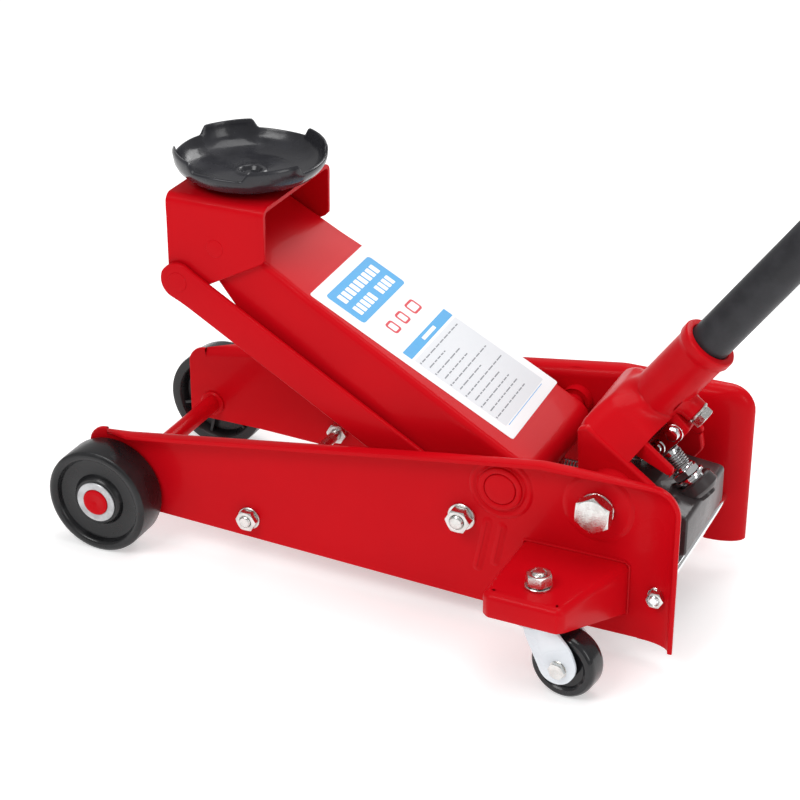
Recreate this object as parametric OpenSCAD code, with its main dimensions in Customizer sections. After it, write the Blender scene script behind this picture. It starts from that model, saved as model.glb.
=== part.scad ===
// Hydraulic trolley jack: side plates, lift arm with parallel radius rods, swivel saddle,
// hydraulic unit, handle socket with a two-piece handle, front wheels and rear casters.
// Working frame: x = 0 at the front axle, +x towards the handle, -y is the left side,
// z = 0 on the floor. Everything is then moved along x so that the origin is the middle
// of the jack's footprint.

/* [Frame] */
// Outer width over the two side plate webs
frame_w = 180.2; // [178:0.1:184]
// Thickness of the pressed side plates
plate_t = 4; // [3.5:0.1:4]
// How far the plate flanges turn outwards
flange_w = 12.7; // [8:0.1:16]
// Distance from the front axle to the rear edge of the plates
frame_rear = 518; // [518:0.5:520]

/* [Wheels] */
// Front wheel diameter
wheel_d = 96; // [94:1:96]
// Front wheel width
wheel_w = 33.5; // [30:0.5:34]
// Width over the outer faces of the front wheels
track_w = 250.4; // [250:0.2:256]
// Caster wheel diameter
caster_d = 56; // [54:1:57]
// Distance from the swivel axis back to the caster axle
caster_trail = 28; // [27:0.5:29]
// How far the casters are swivelled at rest
caster_turn = 8; // [-20:1:20]

/* [Lift] */
// Distance between the arm pivot and the bracket pivot
arm_len = 310; // [308:1:312]
// Angle of the arm above the floor as modelled
arm_angle = 28.7; // [27:0.1:30]
// Radius of the crank that the ram pushes
crank_r = 52; // [51:0.5:52]
// Saddle outside diameter
saddle_d = 131; // [126:1:134]

/* [Handle] */
// Angle of the handle above the floor as modelled
handle_angle = 53.8; // [52:0.1:56]
// Handle tube diameter
tube_d = 34.4; // [34:0.1:34.4]
// Length of the handle measured from the socket's pivot
handle_len = 1100; // [1000:10:1120]

/* [Hidden] */

$fn = 48;
gap = 0.05;               // clearance between still parts that fit together
run = 0.06;               // radial clearance of running fits
arc_steps = 6;            // straight steps in a rounded corner

plate_out = frame_w / 2;
plate_in = plate_out - plate_t;
wheel_r = wheel_d / 2;
wheel_out = track_w / 2;
axle_end_r = 11.8;
axle_mid_r = 8;

// pivots of the parallel linkage, as [x, z]
arm_pivot = [364, 129.8];
rod_offset = [-33.6, -34];
shaft_r = 13.5;
shaft_mid_r = 9;
shaft_step_y = 78;
pivot_tube_r = 13.2;
rod_pin_r = 6;
rod_pivot = arm_pivot + rod_offset;
bracket_pivot = arm_pivot + arm_len * [-cos(arm_angle), sin(arm_angle)];
rod_front = bracket_pivot + rod_offset;
bracket_pin_r = 8;

// lift arm, in its own axes: s along the arm from its pivot, n square to it
arm_t = 4;
arm_top = 14;
arm_tip = 322;
// half widths of the arm, as [s, half width]
arm_widths = [[-30, 66.7], [10, 66.7], [225, 59.7], [248, 57.2], [332, 53.8]];

// crank and ram
crank_lean = 2.2;
crank_pin_r = 8;
crank_pos = arm_pivot - crank_r * [sin(crank_lean), cos(crank_lean)];
ram_z = 81.6;
ram_rod_r = 15;
cyl_r = 28;
cyl_bore_r = 22.06;
cyl_front = 409;
cyl_rear = 493;
gland_len = 12;
head_half_w = 17;
slot_half_x = crank_pin_r + 1;
slot_half_z = crank_pin_r + 4.4;
head_rear = crank_pos.x + 16;
piston_x = 447.1;
piston_len = 10;
hook_bar_x = crank_pos.x - 22;
spring_y = 56;
anchor_x = 474;

// tie rods and the plate bolts
tie_pos = [132.7, 46.7];
tie_r = 5;
cross_pos = [499.5, 63];
cross_r = 4;

// handle socket, in its own axes: t along the handle, m square to it
socket_pivot = [447, 131.5];
socket_offset = 24;
socket_bolt_r = 8;
along = [cos(handle_angle), sin(handle_angle)];
across = [-sin(handle_angle), cos(handle_angle)];
axis_foot = socket_pivot + socket_offset * across;
mouth_t = 128;
tube_r = tube_d / 2;
socket_r = 22;
bolt_t = 72;
handle_low_t = 58;
grip_r = 19.5;

// pump roller and plunger: the roller turns about the socket pivot on this radius
roller_pos = socket_pivot + [21, 20];
roller_r = 8;
plunger_tilt = atan2(20, 21);

// rear casters
stem_pos = [422, -152];
stem_r = 6;
bracket_top = 87;
caster_r = caster_d / 2;

// colours
red = [0.78, 0.05, 0.07];
black = [0.08, 0.08, 0.09];
zinc = [0.75, 0.76, 0.78];
steel = [0.6, 0.61, 0.63];
white = [0.9, 0.92, 0.93];

// the footprint's middle, from the front wheel's rim to the handle's end
end_x = axis_foot.x + handle_len * along.x + grip_r * along.y;
mid_x = (end_x - wheel_r) / 2;

// ---- shared geometry ----
function unit(v) = v / norm(v);
function turn(a, b) = ((b - a + 540) % 360) - 180;

// points of the rounded corner at b, between a and c, with radius r
function corner(a, b, c, r) =
  r <= 0 ? [[b.x, b.y]] :
  let (
    u = unit([a.x - b.x, a.y - b.y]),
    v = unit([c.x - b.x, c.y - b.y]),
    half = acos(u * v) / 2,
    centre = [b.x, b.y] + unit(u + v) * (r / sin(half)),
    p = [b.x, b.y] + u * (r / tan(half)) - centre,
    q = [b.x, b.y] + v * (r / tan(half)) - centre,
    a0 = atan2(p.y, p.x),
    sweep = turn(a0, atan2(q.y, q.x))
  ) [for (i = [0:arc_steps])
      centre + r * [cos(a0 + sweep * i / arc_steps), sin(a0 + sweep * i / arc_steps)]];

// an outline from corners given as [x, y, radius]
function rounded(p) =
  let (n = len(p))
  [for (i = [0:n - 1]) each corner(p[(i + n - 1) % n], p[i], p[(i + 1) % n], p[i].z)];

module placed() translate([-mid_x, 0, 0]) children();

module both_sides() {
  children();
  mirror([0, 1, 0]) children();
}

// an [x, z] outline made solid from y0 to y1
module slab_y(y0, y1) translate([0, y1, 0]) rotate([90, 0, 0]) linear_extrude(y1 - y0) children();

// a round bar along y at pos = [x, z]
module bar_y(pos, r, y0, y1, sides = 48)
  translate([pos.x, y0, pos.y]) rotate([-90, 0, 0]) cylinder(h = y1 - y0, r = r, $fn = sides);

// a hexagon along y, af across its flats
module hex_y(pos, af, y0, y1, spin = 0)
  translate([pos.x, y0, pos.y]) rotate([-90, 0, 0]) rotate([0, 0, spin])
    cylinder(h = y1 - y0, r = af / sqrt(3), $fn = 6);

module nut_y(pos, af, bore, y0, y1, spin = 0)
  difference() {
    hex_y(pos, af, y0, y1, spin);
    bar_y(pos, bore, y0 - 1, y1 + 1);
  }

module ring_y(pos, r, bore, y0, y1)
  difference() {
    bar_y(pos, r, y0, y1);
    bar_y(pos, bore, y0 - 1, y1 + 1);
  }

// children drawn as [s, n] in the lift arm's own axes
module on_arm() translate([arm_pivot.x, 0, arm_pivot.y]) rotate([0, arm_angle, 0])
  mirror([1, 0, 0]) children();

// children drawn with x along the handle and z square to it
module on_handle() translate([axis_foot.x, 0, axis_foot.y]) rotate([0, -handle_angle, 0]) children();

// a round bar along the handle's axis
module handle_bar(r, t0, t1) on_handle() translate([t0, 0, 0]) rotate([0, 90, 0])
  cylinder(h = t1 - t0, r = r);

// children drawn with z pointing down the pump plunger, from the roller's centre
module on_plunger() translate([roller_pos.x, 0, roller_pos.y]) rotate([0, 180 - plunger_tilt, 0]) children();

// ---- side plates ----
function plate_outline(inset) = rounded([
  [-24 - inset * 3, 30.5 - inset * 9, inset > 0 ? 0 : 5],
  [-24 - inset * 3, 102 - inset, inset > 0 ? 0 : 16],
  [-6.6, 103 - inset, 0],
  [316, 152.5 - inset, 60],
  [401, 164.8 - inset, 60],
  [frame_rear - inset, 164.8 - inset, 22 - inset],
  [frame_rear - inset, 19.5 - inset * 9, inset > 0 ? 0 : 3],
  [350, 19.5 - inset * 9, 0],
  [46, 30.5 - inset * 9, 0]
]);

module side_plate_left() color(red) difference() {
  union() {
    slab_y(-plate_out, -plate_in) polygon(plate_outline(0));
    difference() {
      slab_y(-plate_out - flange_w, -plate_out) polygon(plate_outline(0));
      slab_y(-plate_out - flange_w - 1, -plate_out + 1) polygon(plate_outline(plate_t));
      translate([-40, -plate_out - flange_w - 1, 0]) cube([33, flange_w + 2, 120]);
    }
    bar_y(arm_pivot, 25, -plate_out - 1.5, -plate_out + 1);
    bar_y(socket_pivot, 28, -plate_out - 2, -plate_out + 1);
  }
  bar_y([0, wheel_r], axle_end_r + gap, -plate_out - 2, -plate_in + 2);
  bar_y(arm_pivot, shaft_r + gap, -plate_out - 4, -plate_in + 2);
  bar_y(rod_pivot, rod_pin_r + gap, -plate_out - 2, -plate_in + 2);
  bar_y(tie_pos, tie_r + gap, -plate_out - 2, -plate_in + 2);
  bar_y(socket_pivot, socket_bolt_r + gap, -plate_out - 4, -plate_in + 2);
  bar_y(cross_pos, cross_r + gap, -plate_out - 2, -plate_in + 2);
}
module side_plate_right() mirror([0, 1, 0]) side_plate_left();

module front_axle() color(red) {
  bar_y([0, wheel_r], axle_mid_r, -plate_in, plate_in);
  both_sides() bar_y([0, wheel_r], axle_end_r, -wheel_out - 1.2, -plate_in);
}

washer_r = 18.5;
module wheel_washers() color(zinc) both_sides()
  ring_y([0, wheel_r], washer_r, axle_end_r + gap, -wheel_out + 0.4, -wheel_out + 1.9);

module arm_pivot_shaft() color(red) {
  bar_y(arm_pivot, shaft_mid_r, -plate_in, plate_in);
  both_sides() {
    bar_y(arm_pivot, shaft_r, -plate_out - 3.5, -shaft_step_y);
    ring_y(arm_pivot, 19, shaft_r, -plate_out - 3.5, -plate_out - 1.5 - gap);
  }
}

module tie_rod() color(zinc) bar_y(tie_pos, tie_r, -plate_out - 11, plate_out + 11);
module frame_rod_nuts() color(zinc) both_sides() {
  nut_y(tie_pos, 17, tie_r + gap, -plate_out - 8.2, -plate_out - gap, 10);
  nut_y(tie_pos, 17, tie_r + gap, -plate_in + gap, -plate_in + 8.2, 22);
  nut_y(cross_pos, 13, cross_r + gap, -plate_out - 8, -plate_out - 1.2, 12);
  ring_y(cross_pos, 8, cross_r + gap, -plate_out - 1.1, -plate_out - gap);
}

// the radius rods slant inwards from the frame to the saddle bracket
rod_rear_y = 75.2;
rod_front_y = 67.5;
rod_t = 5;
module rod_pivot_bolts() color(zinc) both_sides() {
  bar_y(rod_pivot, rod_pin_r, -plate_out - 14, -rod_rear_y + rod_t + 0.2);
  bar_y(rod_pivot, 9.5, -rod_rear_y + rod_t + 0.2, -rod_rear_y + rod_t + 2.6);
}
module rod_pivot_nuts() color(zinc) both_sides() {
  nut_y(rod_pivot, 19, rod_pin_r + gap, -plate_out - 11.6, -plate_out - 2.6, 15);
  ring_y(rod_pivot, 10.5, rod_pin_r + gap, -plate_out - 2.5, -plate_out - gap);
}
module rod_pivot_spacers() color(steel) both_sides()
  ring_y(rod_pivot, 10, rod_pin_r + gap, -plate_in + gap, -rod_rear_y - 0.3);

// ---- rear casters ----
skirt_z = 66;
bracket_rear = 475;
gusset_turn = atan2(bracket_rear - 453, 177 - plate_out);
function bracket_outline(inset) = [
  [384 + inset, -plate_out - gap + inset * 2],
  [384 + inset, -175 + inset],
  [390 + inset, -180 + inset],
  [448 - inset, -181 + inset],
  [453 - inset, -177 + inset],
  [bracket_rear - inset, -plate_out - gap + inset * 2]
];
module caster_bracket_left() color(red) difference() {
  union() {
    difference() {
      translate([0, 0, skirt_z]) linear_extrude(bracket_top - skirt_z) polygon(bracket_outline(0));
      translate([0, 0, skirt_z - 1]) linear_extrude(bracket_top - skirt_z - 3) polygon(bracket_outline(4));
    }
    // rear gusset, deeper where it meets the plate
    translate([bracket_rear, -plate_out - gap, 0]) rotate([0, 0, -gusset_turn]) rotate([90, 0, -90])
      linear_extrude(4) polygon([[1.1, 40.7], [1.1, skirt_z + 2], [89, skirt_z + 2], [89, skirt_z]]);
  }
  translate([stem_pos.x, stem_pos.y, 70]) cylinder(h = 30, r = stem_r + gap);
}
module caster_bracket_right() mirror([0, 1, 0]) caster_bracket_left();

module at_stem() translate([stem_pos.x, stem_pos.y, 0]) children();
crown_z = 60;
crown_t = 4;
module caster_stems() color(zinc) both_sides() at_stem() {
  translate([0, 0, crown_z - 6]) cylinder(h = 47, r = stem_r);
  translate([0, 0, crown_z - 6]) cylinder(h = 5.6, r = 9);
}
module caster_nuts() color(zinc) both_sides() at_stem() {
  translate([0, 0, bracket_top + gap]) difference() {
    cylinder(h = 2, r = 11);
    translate([0, 0, -1]) cylinder(h = 4, r = stem_r + gap);
  }
  translate([0, 0, bracket_top + 2.1]) difference() {
    cylinder(h = 10, r = 19 / sqrt(3), $fn = 6);
    translate([0, 0, -1]) cylinder(h = 12, r = stem_r + gap);
  }
}
module caster_bearings() color(zinc) both_sides() at_stem() translate([0, 0, crown_z + crown_t + 0.4])
  difference() {
    union() {
      cylinder(h = 4, r = 17);
      translate([0, 0, 4]) cylinder(h = bracket_top - 4 - crown_z - crown_t - 4.5, r = 22);
    }
    translate([0, 0, -1]) cylinder(h = 30, r = stem_r + gap);
  }

fork_in = 12.5;
fork_t = 3;
fork_lobe_r = 17;
// children drawn about the caster's swivel axis, x towards the wheel
module on_caster() at_stem() rotate([0, 0, -caster_turn]) children();
module caster_fork_left() color(white) on_caster() difference() {
  union() {
    translate([0, 0, crown_z]) cylinder(h = crown_t, r = 22);
    translate([-6, -fork_in - fork_t, crown_z]) cube([26, 2 * (fork_in + fork_t), crown_t]);
    both_sides() slab_y(-fork_in - fork_t, -fork_in) {
      translate([caster_trail, caster_r]) circle(r = fork_lobe_r);
      polygon([
        [-6, crown_z + crown_t], [20, crown_z + crown_t], [36, crown_z - 14],
        [caster_trail + fork_lobe_r - 0.3, caster_r + 2], [caster_trail - 10, caster_r - 11], [-4, crown_z - 10]
      ]);
    }
  }
  translate([0, 0, crown_z - 1]) cylinder(h = crown_t + 2, r = stem_r + run);
  bar_y([caster_trail, caster_r], 4 + gap, -30, 30);
}
module caster_fork_right() mirror([0, 1, 0]) caster_fork_left();
module caster_axle_left() color(zinc) on_caster() {
  bar_y([caster_trail, caster_r], 4, -fork_in - fork_t - 3, fork_in + fork_t + 3);
  both_sides() hex_y([caster_trail, caster_r], 13, -fork_in - fork_t - 4, -fork_in - fork_t - gap, 10);
}
module caster_axle_right() mirror([0, 1, 0]) caster_axle_left();

caster_half = 11;
module caster_wheel_left() color(black) on_caster()
  translate([caster_trail, 0, caster_r]) rotate([90, 0, 0]) rotate_extrude($fn = 72) polygon([
    [4 + run, -caster_half], [9, -caster_half], [10, -caster_half + 3], [18, -caster_half + 3],
    [19.5, -caster_half], [caster_r - 2.5, -caster_half], [caster_r, -caster_half + 3],
    [caster_r, caster_half - 3], [caster_r - 2.5, caster_half], [19.5, caster_half],
    [18, caster_half - 3], [10, caster_half - 3], [9, caster_half], [4 + run, caster_half]
  ]);
module caster_wheel_right() mirror([0, 1, 0]) caster_wheel_left();

// ---- front wheels ----
module front_wheel_left() color(black) translate([0, -wheel_out + wheel_w, wheel_r]) rotate([90, 0, 0])
  rotate_extrude($fn = 96) polygon([
    [axle_end_r + run, 3], [20, 3], [22, 9], [36, 9], [39, 0], [wheel_r - 2, 0], [wheel_r, 2],
    [wheel_r, wheel_w - 2], [wheel_r - 2, wheel_w], [40, wheel_w], [37, wheel_w - 7],
    [24, wheel_w - 7], [22, wheel_w - 2], [axle_end_r + run, wheel_w - 2]
  ]);
module front_wheel_right() mirror([0, 1, 0]) front_wheel_left();

// ---- hydraulic unit ----
block = [412, 494, 50, 45, 116];      // front x, rear x, half width, bottom z, top z
module power_unit() color(black) difference() {
  union() {
    slab_y(-block[2], block[2]) polygon(rounded([
      [block[0], block[3], 4], [block[0], block[4], 4], [block[1], block[4], 6], [block[1], block[3], 4]
    ]));
    on_plunger() translate([0, 0, 33]) cylinder(h = 23, r = 14);
  }
  translate([block[0] - 1, 0, ram_z]) rotate([0, 90, 0]) cylinder(h = 90, r = cyl_r + gap);
  on_plunger() translate([0, 0, 30]) cylinder(h = 40, r = barrel_r + gap);
  handle_bar(valve_boss_r + gap, -60, -23);
}

module ram_cylinder() color(black) difference() {
  translate([cyl_front + 4, 0, ram_z]) rotate([0, 90, 0]) cylinder(h = cyl_rear - cyl_front - 4, r = cyl_r);
  translate([cyl_front + 3, 0, ram_z]) rotate([0, 90, 0]) cylinder(h = cyl_rear - cyl_front - 9, r = cyl_bore_r);
}
module cylinder_gland() color(steel) difference() {
  union() {
    translate([cyl_front, 0, ram_z]) rotate([0, 90, 0]) cylinder(h = 4 - gap, r = 26);
    translate([cyl_front + 1, 0, ram_z]) rotate([0, 90, 0]) cylinder(h = gland_len - 1, r = cyl_bore_r - gap);
  }
  translate([cyl_front - 1, 0, ram_z]) rotate([0, 90, 0]) cylinder(h = gland_len + 2, r = ram_rod_r + run);
}

plunger_r = 7;
barrel_r = 10.5;
module pump_barrel() color(black) on_plunger() difference() {
  translate([0, 0, 31]) cylinder(h = 26.5, r = barrel_r);
  translate([0, 0, 30]) cylinder(h = 25.7, r = plunger_r + run);
}
module pump_gland_nut() color(zinc) on_plunger() difference() {
  union() {
    translate([0, 0, 28]) cylinder(h = 2.9, r = 22 / sqrt(3), $fn = 6);
    translate([0, 0, 26.5]) cylinder(h = 2, r = 10);
  }
  translate([0, 0, 20]) cylinder(h = 20, r = plunger_r + run);
}
module plunger_spring() color(steel) on_plunger() difference() {
  translate([0, 0, 12]) cylinder(h = 14, r = 9.2);
  translate([0, 0, 11]) cylinder(h = 16, r = 7.8);
}
module pump_plunger() color(zinc) on_plunger() {
  translate([0, 0, roller_r + 0.5]) cylinder(h = 34, r = plunger_r);
  translate([0, 0, roller_r + 0.5]) cylinder(h = 3, r = 9);
}

valve_boss_r = 9;
module valve_body() color(black) difference() {
  handle_bar(valve_boss_r, -36, -24);
  handle_bar(5 + run, -34, -10);
}
module valve_spindle() color(zinc) {
  handle_bar(5, -33.5, -10);
  handle_bar(6, -18, -2);
}
module filler_plug() color(zinc) translate([440, 30, block[4] + gap]) {
  cylinder(h = 2, r = 8);
  translate([0, 0, 2]) cylinder(h = 5, r = 13 / sqrt(3), $fn = 6);
}
// four bosses that carry the unit between the plates, and the pins that hold the springs
mount_x = [424, 462];
mount_z = 56;
module unit_mounts() color(steel) both_sides() {
  for (x = mount_x) bar_y([x, mount_z], 8, -plate_in + gap, -block[2] - gap);
  bar_y([anchor_x, ram_z], 3, -spring_y - 5, -block[2] - gap);
}
module rear_cross_rod() color(zinc) bar_y(cross_pos, cross_r, -plate_out - 10, plate_out + 10);

// ---- lift arm ----
arm_outline = rounded([
  [-22, -30, 12], [-22, arm_top, 18], [arm_tip, arm_top, 6], [arm_tip + 2, -16, 8],
  [306, -24, 10], [250, -46, 20], [40, -62, 20], [-8, -52, 14]
]);
inside_half = arm_widths[0][1] - arm_t;
// the space inside the arm: its top plate rolls down behind the pivot as a rear wall
arm_inside = rounded([
  [-40, -90, 0], [-40, -14, 0], [-18, -14, 0], [-18, arm_top - arm_t, 8],
  [arm_tip + 10, arm_top - arm_t, 0], [arm_tip + 10, -90, 0]
]);
module arm_plan(shrink) translate([0, 0, -95]) linear_extrude(140) polygon(concat(
  [for (w = arm_widths) [w[0], shrink - w[1]]],
  [for (i = [len(arm_widths) - 1:-1:0]) [arm_widths[i][0], arm_widths[i][1] - shrink]]
));
module lift_arm() color(red) difference() {
  on_arm() difference() {
    intersection() {
      slab_y(-80, 80) polygon(arm_outline);
      arm_plan(0);
    }
    intersection() {
      slab_y(-80, 80) polygon(arm_inside);
      arm_inside_plan();
    }
    both_sides() slab_y(-ear_y[1] - 0.1, -ear_y[0] + 0.1) translate([-30, -20]) square([22, 22]);
  }
  bar_y(arm_pivot, shaft_mid_r + run, -90, 90);
  bar_y(arm_pivot, pivot_tube_r + gap, -tube_half - gap, tube_half + gap);
  bar_y(bracket_pivot, bracket_pin_r + gap, -90, 90);
}
module arm_inside_plan() {
  arm_plan(arm_t);
  translate([-40, -inside_half, -95]) cube([25, 2 * inside_half, 140]);
}
ear_y = [20, 26];
tube_half = 62.5;
module arm_pivot_tube() color(red) ring_y(arm_pivot, pivot_tube_r, shaft_mid_r + run, -tube_half, tube_half);
// the crank hangs from the pivot tube; its pin is at [pin_s, pin_n] in the arm's axes
pin_s = -crank_r * sin(arm_angle - crank_lean);
pin_n = -crank_r * cos(arm_angle - crank_lean);
module crank_ears() color(red) both_sides() difference() {
  on_arm() slab_y(-ear_y[1], -ear_y[0]) polygon(rounded([
    [-15.5, arm_top - arm_t - 0.2, 12], [16, arm_top - arm_t - 0.2, 8],
    [pin_s + 15, pin_n - 11, 12], [pin_s - 11, pin_n - 15, 12]
  ]));
  bar_y(arm_pivot, pivot_tube_r + gap, -30, 30);
  bar_y(crank_pos, crank_pin_r + gap, -30, 30);
}
module crank_pin() color(steel) bar_y(crank_pos, crank_pin_r, -29, 29);
module bracket_pin() color(zinc) {
  bar_y(bracket_pivot, bracket_pin_r, -63.5, 63.5);
  both_sides() ring_y(bracket_pivot, 12, bracket_pin_r, -64.5, -62.5);
}

label_s = [19, 225];
label_half = 55.5;
module arm_label() color(white) on_arm()
  translate([(label_s[0] + label_s[1]) / 2, 6.3, arm_top + gap]) rotate([0, 0, -2])
    translate([-(label_s[1] - label_s[0]) / 2, -label_half, 0]) cube([label_s[1] - label_s[0], 2 * label_half, 0.3]);

// ---- saddle bracket and radius rods ----
cheek_out = 61.5;
cheek_t = 3.5;
bracket_top_z = 320.5;
bracket_rear_x = 138.5;
bracket_profile = rounded([
  [47, 230, 12], [47, bracket_top_z, 6], [bracket_rear_x, bracket_top_z, 4],
  [bracket_rear_x, 273.5, 4], [85.7, 245, 14], [66, 230, 12]
]);
module saddle_bracket() color(red) difference() {
  slab_y(-cheek_out, cheek_out) polygon(bracket_profile);
  translate([0, -cheek_out + cheek_t, 200]) cube([200, 2 * (cheek_out - cheek_t), bracket_top_z - cheek_t - 200]);
  bar_y(bracket_pivot, bracket_pin_r + run, -90, 90);
  bar_y(rod_front, rod_pin_r + gap, -90, 90);
  translate([saddle_x, 0, 300]) cylinder(h = 30, r = saddle_stem_r + run);
}
module rod_front_pins() color(red) both_sides() {
  bar_y(rod_front, rod_pin_r, -rod_front_y - 0.2, -cheek_out + cheek_t - 1.5);
  bar_y(rod_front, 9, -rod_front_y - 2.2, -rod_front_y - 0.2);
  bar_y(rod_front, 9, -cheek_out + cheek_t - gap + 0.1, -cheek_out + cheek_t + 2);
}

rod_half = 15.5;
rod_plan = [
  [-20, rod_rear_y], [16, rod_rear_y], [arm_len - 20, rod_front_y], [arm_len + 20, rod_front_y],
  [arm_len + 20, rod_front_y - rod_t], [arm_len - 20, rod_front_y - rod_t],
  [16, rod_rear_y - rod_t], [-20, rod_rear_y - rod_t]
];
module on_rod() translate([rod_pivot.x, 0, rod_pivot.y]) rotate([0, arm_angle, 0]) mirror([1, 0, 0]) children();
module radius_rod_left() color(red) difference() {
  on_rod() intersection() {
    slab_y(-80, -50) union() {
      circle(r = 16);
      translate([arm_len, 0]) circle(r = 16.5);
      translate([0, -rod_half]) square([arm_len, 2 * rod_half]);
    }
    translate([0, 0, -30]) linear_extrude(60) polygon([for (p = rod_plan) [p.x, -p.y]]);
  }
  bar_y(rod_pivot, rod_pin_r + run, -90, 0);
  bar_y(rod_front, rod_pin_r + run, -90, 0);
}
module radius_rod_right() mirror([0, 1, 0]) radius_rod_left();

// ---- saddle ----
saddle_x = 95;
saddle_r = saddle_d / 2;
saddle_stem_r = 12;
saddle_base = bracket_top_z + 0.4;
saddle_floor = 327;
lobe_count = 4;
lobe_angle = 44;
lobe_start = 24;
lobe_top = 350;
module at_saddle() translate([saddle_x, 0, 0]) children();
module saddle() color(black) at_saddle() {
  rotate_extrude($fn = 96) polygon([
    [0, 302], [saddle_stem_r - 1.5, 302], [saddle_stem_r, 303.5], [saddle_stem_r, 311],
    [saddle_stem_r - 1.5, 311], [saddle_stem_r - 1.5, 313.2], [saddle_stem_r, 313.2],
    [saddle_stem_r, saddle_base], [32, saddle_base], [50, 325], [60, 331], [saddle_r - 1, 338],
    [saddle_r, 343], [saddle_r - 3, 344], [saddle_r - 7, 339], [54, 332.5], [46, 328.5],
    [40, saddle_floor], [13, saddle_floor], [12, saddle_floor + 1.6], [8.5, saddle_floor + 1.6],
    [7.5, saddle_floor - 2.5], [0, saddle_floor - 2.5]
  ]);
  for (i = [0:lobe_count - 1]) rotate([0, 0, lobe_start + i * 360 / lobe_count])
    rotate_extrude(angle = lobe_angle, $fn = 96) polygon([
      [saddle_r - 6, 338.5], [saddle_r - 1.6, 339], [saddle_r - 1.2, lobe_top - 3],
      [saddle_r - 2.5, lobe_top], [saddle_r - 5, lobe_top - 2]
    ]);
}
module saddle_clip() color(zinc) at_saddle() {
  difference() {
    translate([0, 0, 314]) cylinder(h = 2.6, r = 19);
    translate([0, 0, 310]) cylinder(h = 10, r = saddle_stem_r + gap);
  }
  difference() {
    translate([0, 0, 311.1]) cylinder(h = 2, r = 16);
    translate([0, 0, 310]) cylinder(h = 5, r = saddle_stem_r - 1.5 + gap);
    translate([-3, -20, 310]) cube([6, 20, 5]);
  }
}

// ---- ram ----
module ram_rod() color(steel) {
  translate([head_rear + gap, 0, ram_z]) rotate([0, 90, 0]) cylinder(h = piston_x - head_rear, r = ram_rod_r);
  translate([piston_x, 0, ram_z]) rotate([0, 90, 0]) cylinder(h = piston_len, r = cyl_bore_r - run);
}
module ram_head() color(steel) {
  difference() {
    slab_y(-head_half_w, head_half_w) polygon(rounded([
      [hook_bar_x - 5, ram_z - 10, 5], [hook_bar_x - 5, ram_z + 10, 5], [hook_bar_x + 6, ram_z + 19.5, 6],
      [head_rear, ram_z + 19.5, 3], [head_rear, ram_z - 19.5, 3], [hook_bar_x + 6, ram_z - 19.5, 6]
    ]));
    slab_y(-head_half_w - 1, head_half_w + 1) translate([crank_pos.x - slot_half_x, ram_z - slot_half_z])
      square([2 * slot_half_x, 2 * slot_half_z]);
  }
  bar_y([hook_bar_x, ram_z], 3, -spring_y - 4, spring_y + 4);
}
module return_springs() color(steel) both_sides() translate([hook_bar_x + 4, -spring_y, ram_z]) rotate([0, 90, 0])
  difference() {
    cylinder(h = anchor_x - hook_bar_x - 8, r = 4.2);
    translate([0, 0, -1]) cylinder(h = anchor_x - hook_bar_x, r = 2.6);
  }

// ---- handle socket ----
ear_out = plate_in - 2;
ear_in = 66;
ear_r = 36;
// outlines along the handle: [t, m] seen from the side, [t, y] seen from the front
block_m = 21;
hollow_m = 13;
block_end = 80;
socket_side = rounded([
  [-6, block_m, 3], [block_end, block_m, 0], [block_end, -block_m, 0], [66, -block_m, 12],
  [42, -48, 10], [-6, -48, 0]
]);
socket_front = rounded([
  [-10, ear_out, 0], [38, ear_out, 10], [block_end, 14, 0],
  [block_end, -14, 0], [38, -ear_out, 10], [-10, -ear_out, 0]
]);
socket_hollow = rounded([
  [-70, ear_in, 0], [32, ear_in, 8], [54, 24, 0], [54, -24, 0], [32, -ear_in, 8], [-70, -ear_in, 0]
]);
lug_t = [45, 60];
lug_m = [-38, -19];
link_bolt = axis_foot + 49 * along - 30 * across;
module handle_socket() color(red) difference() {
  union() {
    difference() {
      union() {
        both_sides() bar_y(socket_pivot, ear_r, -ear_out - 0.4, -ear_in + 2);
        on_handle() intersection() {
          slab_y(-90, 90) polygon(socket_side);
          translate([0, 0, -80]) linear_extrude(160) polygon(socket_front);
        }
      }
      on_handle() translate([0, 0, hollow_m - 100]) linear_extrude(100) polygon(socket_hollow);
    }
    handle_bar(socket_r, 62, mouth_t);
    handle_bar(socket_r + 2, mouth_t - 9, mouth_t);
    on_handle() translate([bolt_t, 0, -socket_r - 7]) cylinder(h = 20, r = 11);
    on_handle() slab_y(-8.9, 8.9) translate([lug_t[0], lug_m[0]]) square([lug_t[1] - lug_t[0], lug_m[1] - lug_m[0]]);
  }
  // room for the release valve when the handle stands up
  on_handle() translate([-11, -valve_boss_r - 2.5, hollow_m - 2]) cube([19, 2 * valve_boss_r + 5, 12]);
  handle_bar(tube_r + run, handle_low_t - 8, mouth_t + 1);
  bar_y(socket_pivot, socket_bolt_r + run, -90, 90);
  bar_y(link_bolt, 3 + gap, -20, 20);
  on_handle() translate([bolt_t, 0, -60]) cylinder(h = 50, r = 6 + gap);
}
module socket_pivot_bolts() color(zinc) both_sides() {
  bar_y(socket_pivot, socket_bolt_r, -plate_out - 6, -ear_in + 1);
  hex_y(socket_pivot, 30, -plate_out - 16.5, -plate_out - 5.6, 8);
  ring_y(socket_pivot, 14.5, socket_bolt_r + gap, -plate_out - 5.5, -plate_out - 2.05);
}

module retaining_bolt() color(zinc) on_handle() translate([bolt_t, 0, 0]) {
  translate([0, 0, -socket_r - 14]) cylinder(h = 18, r = 6);
  translate([0, 0, -socket_r - 15.5]) cylinder(h = 8, r = 18 / sqrt(3), $fn = 6);
}

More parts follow.
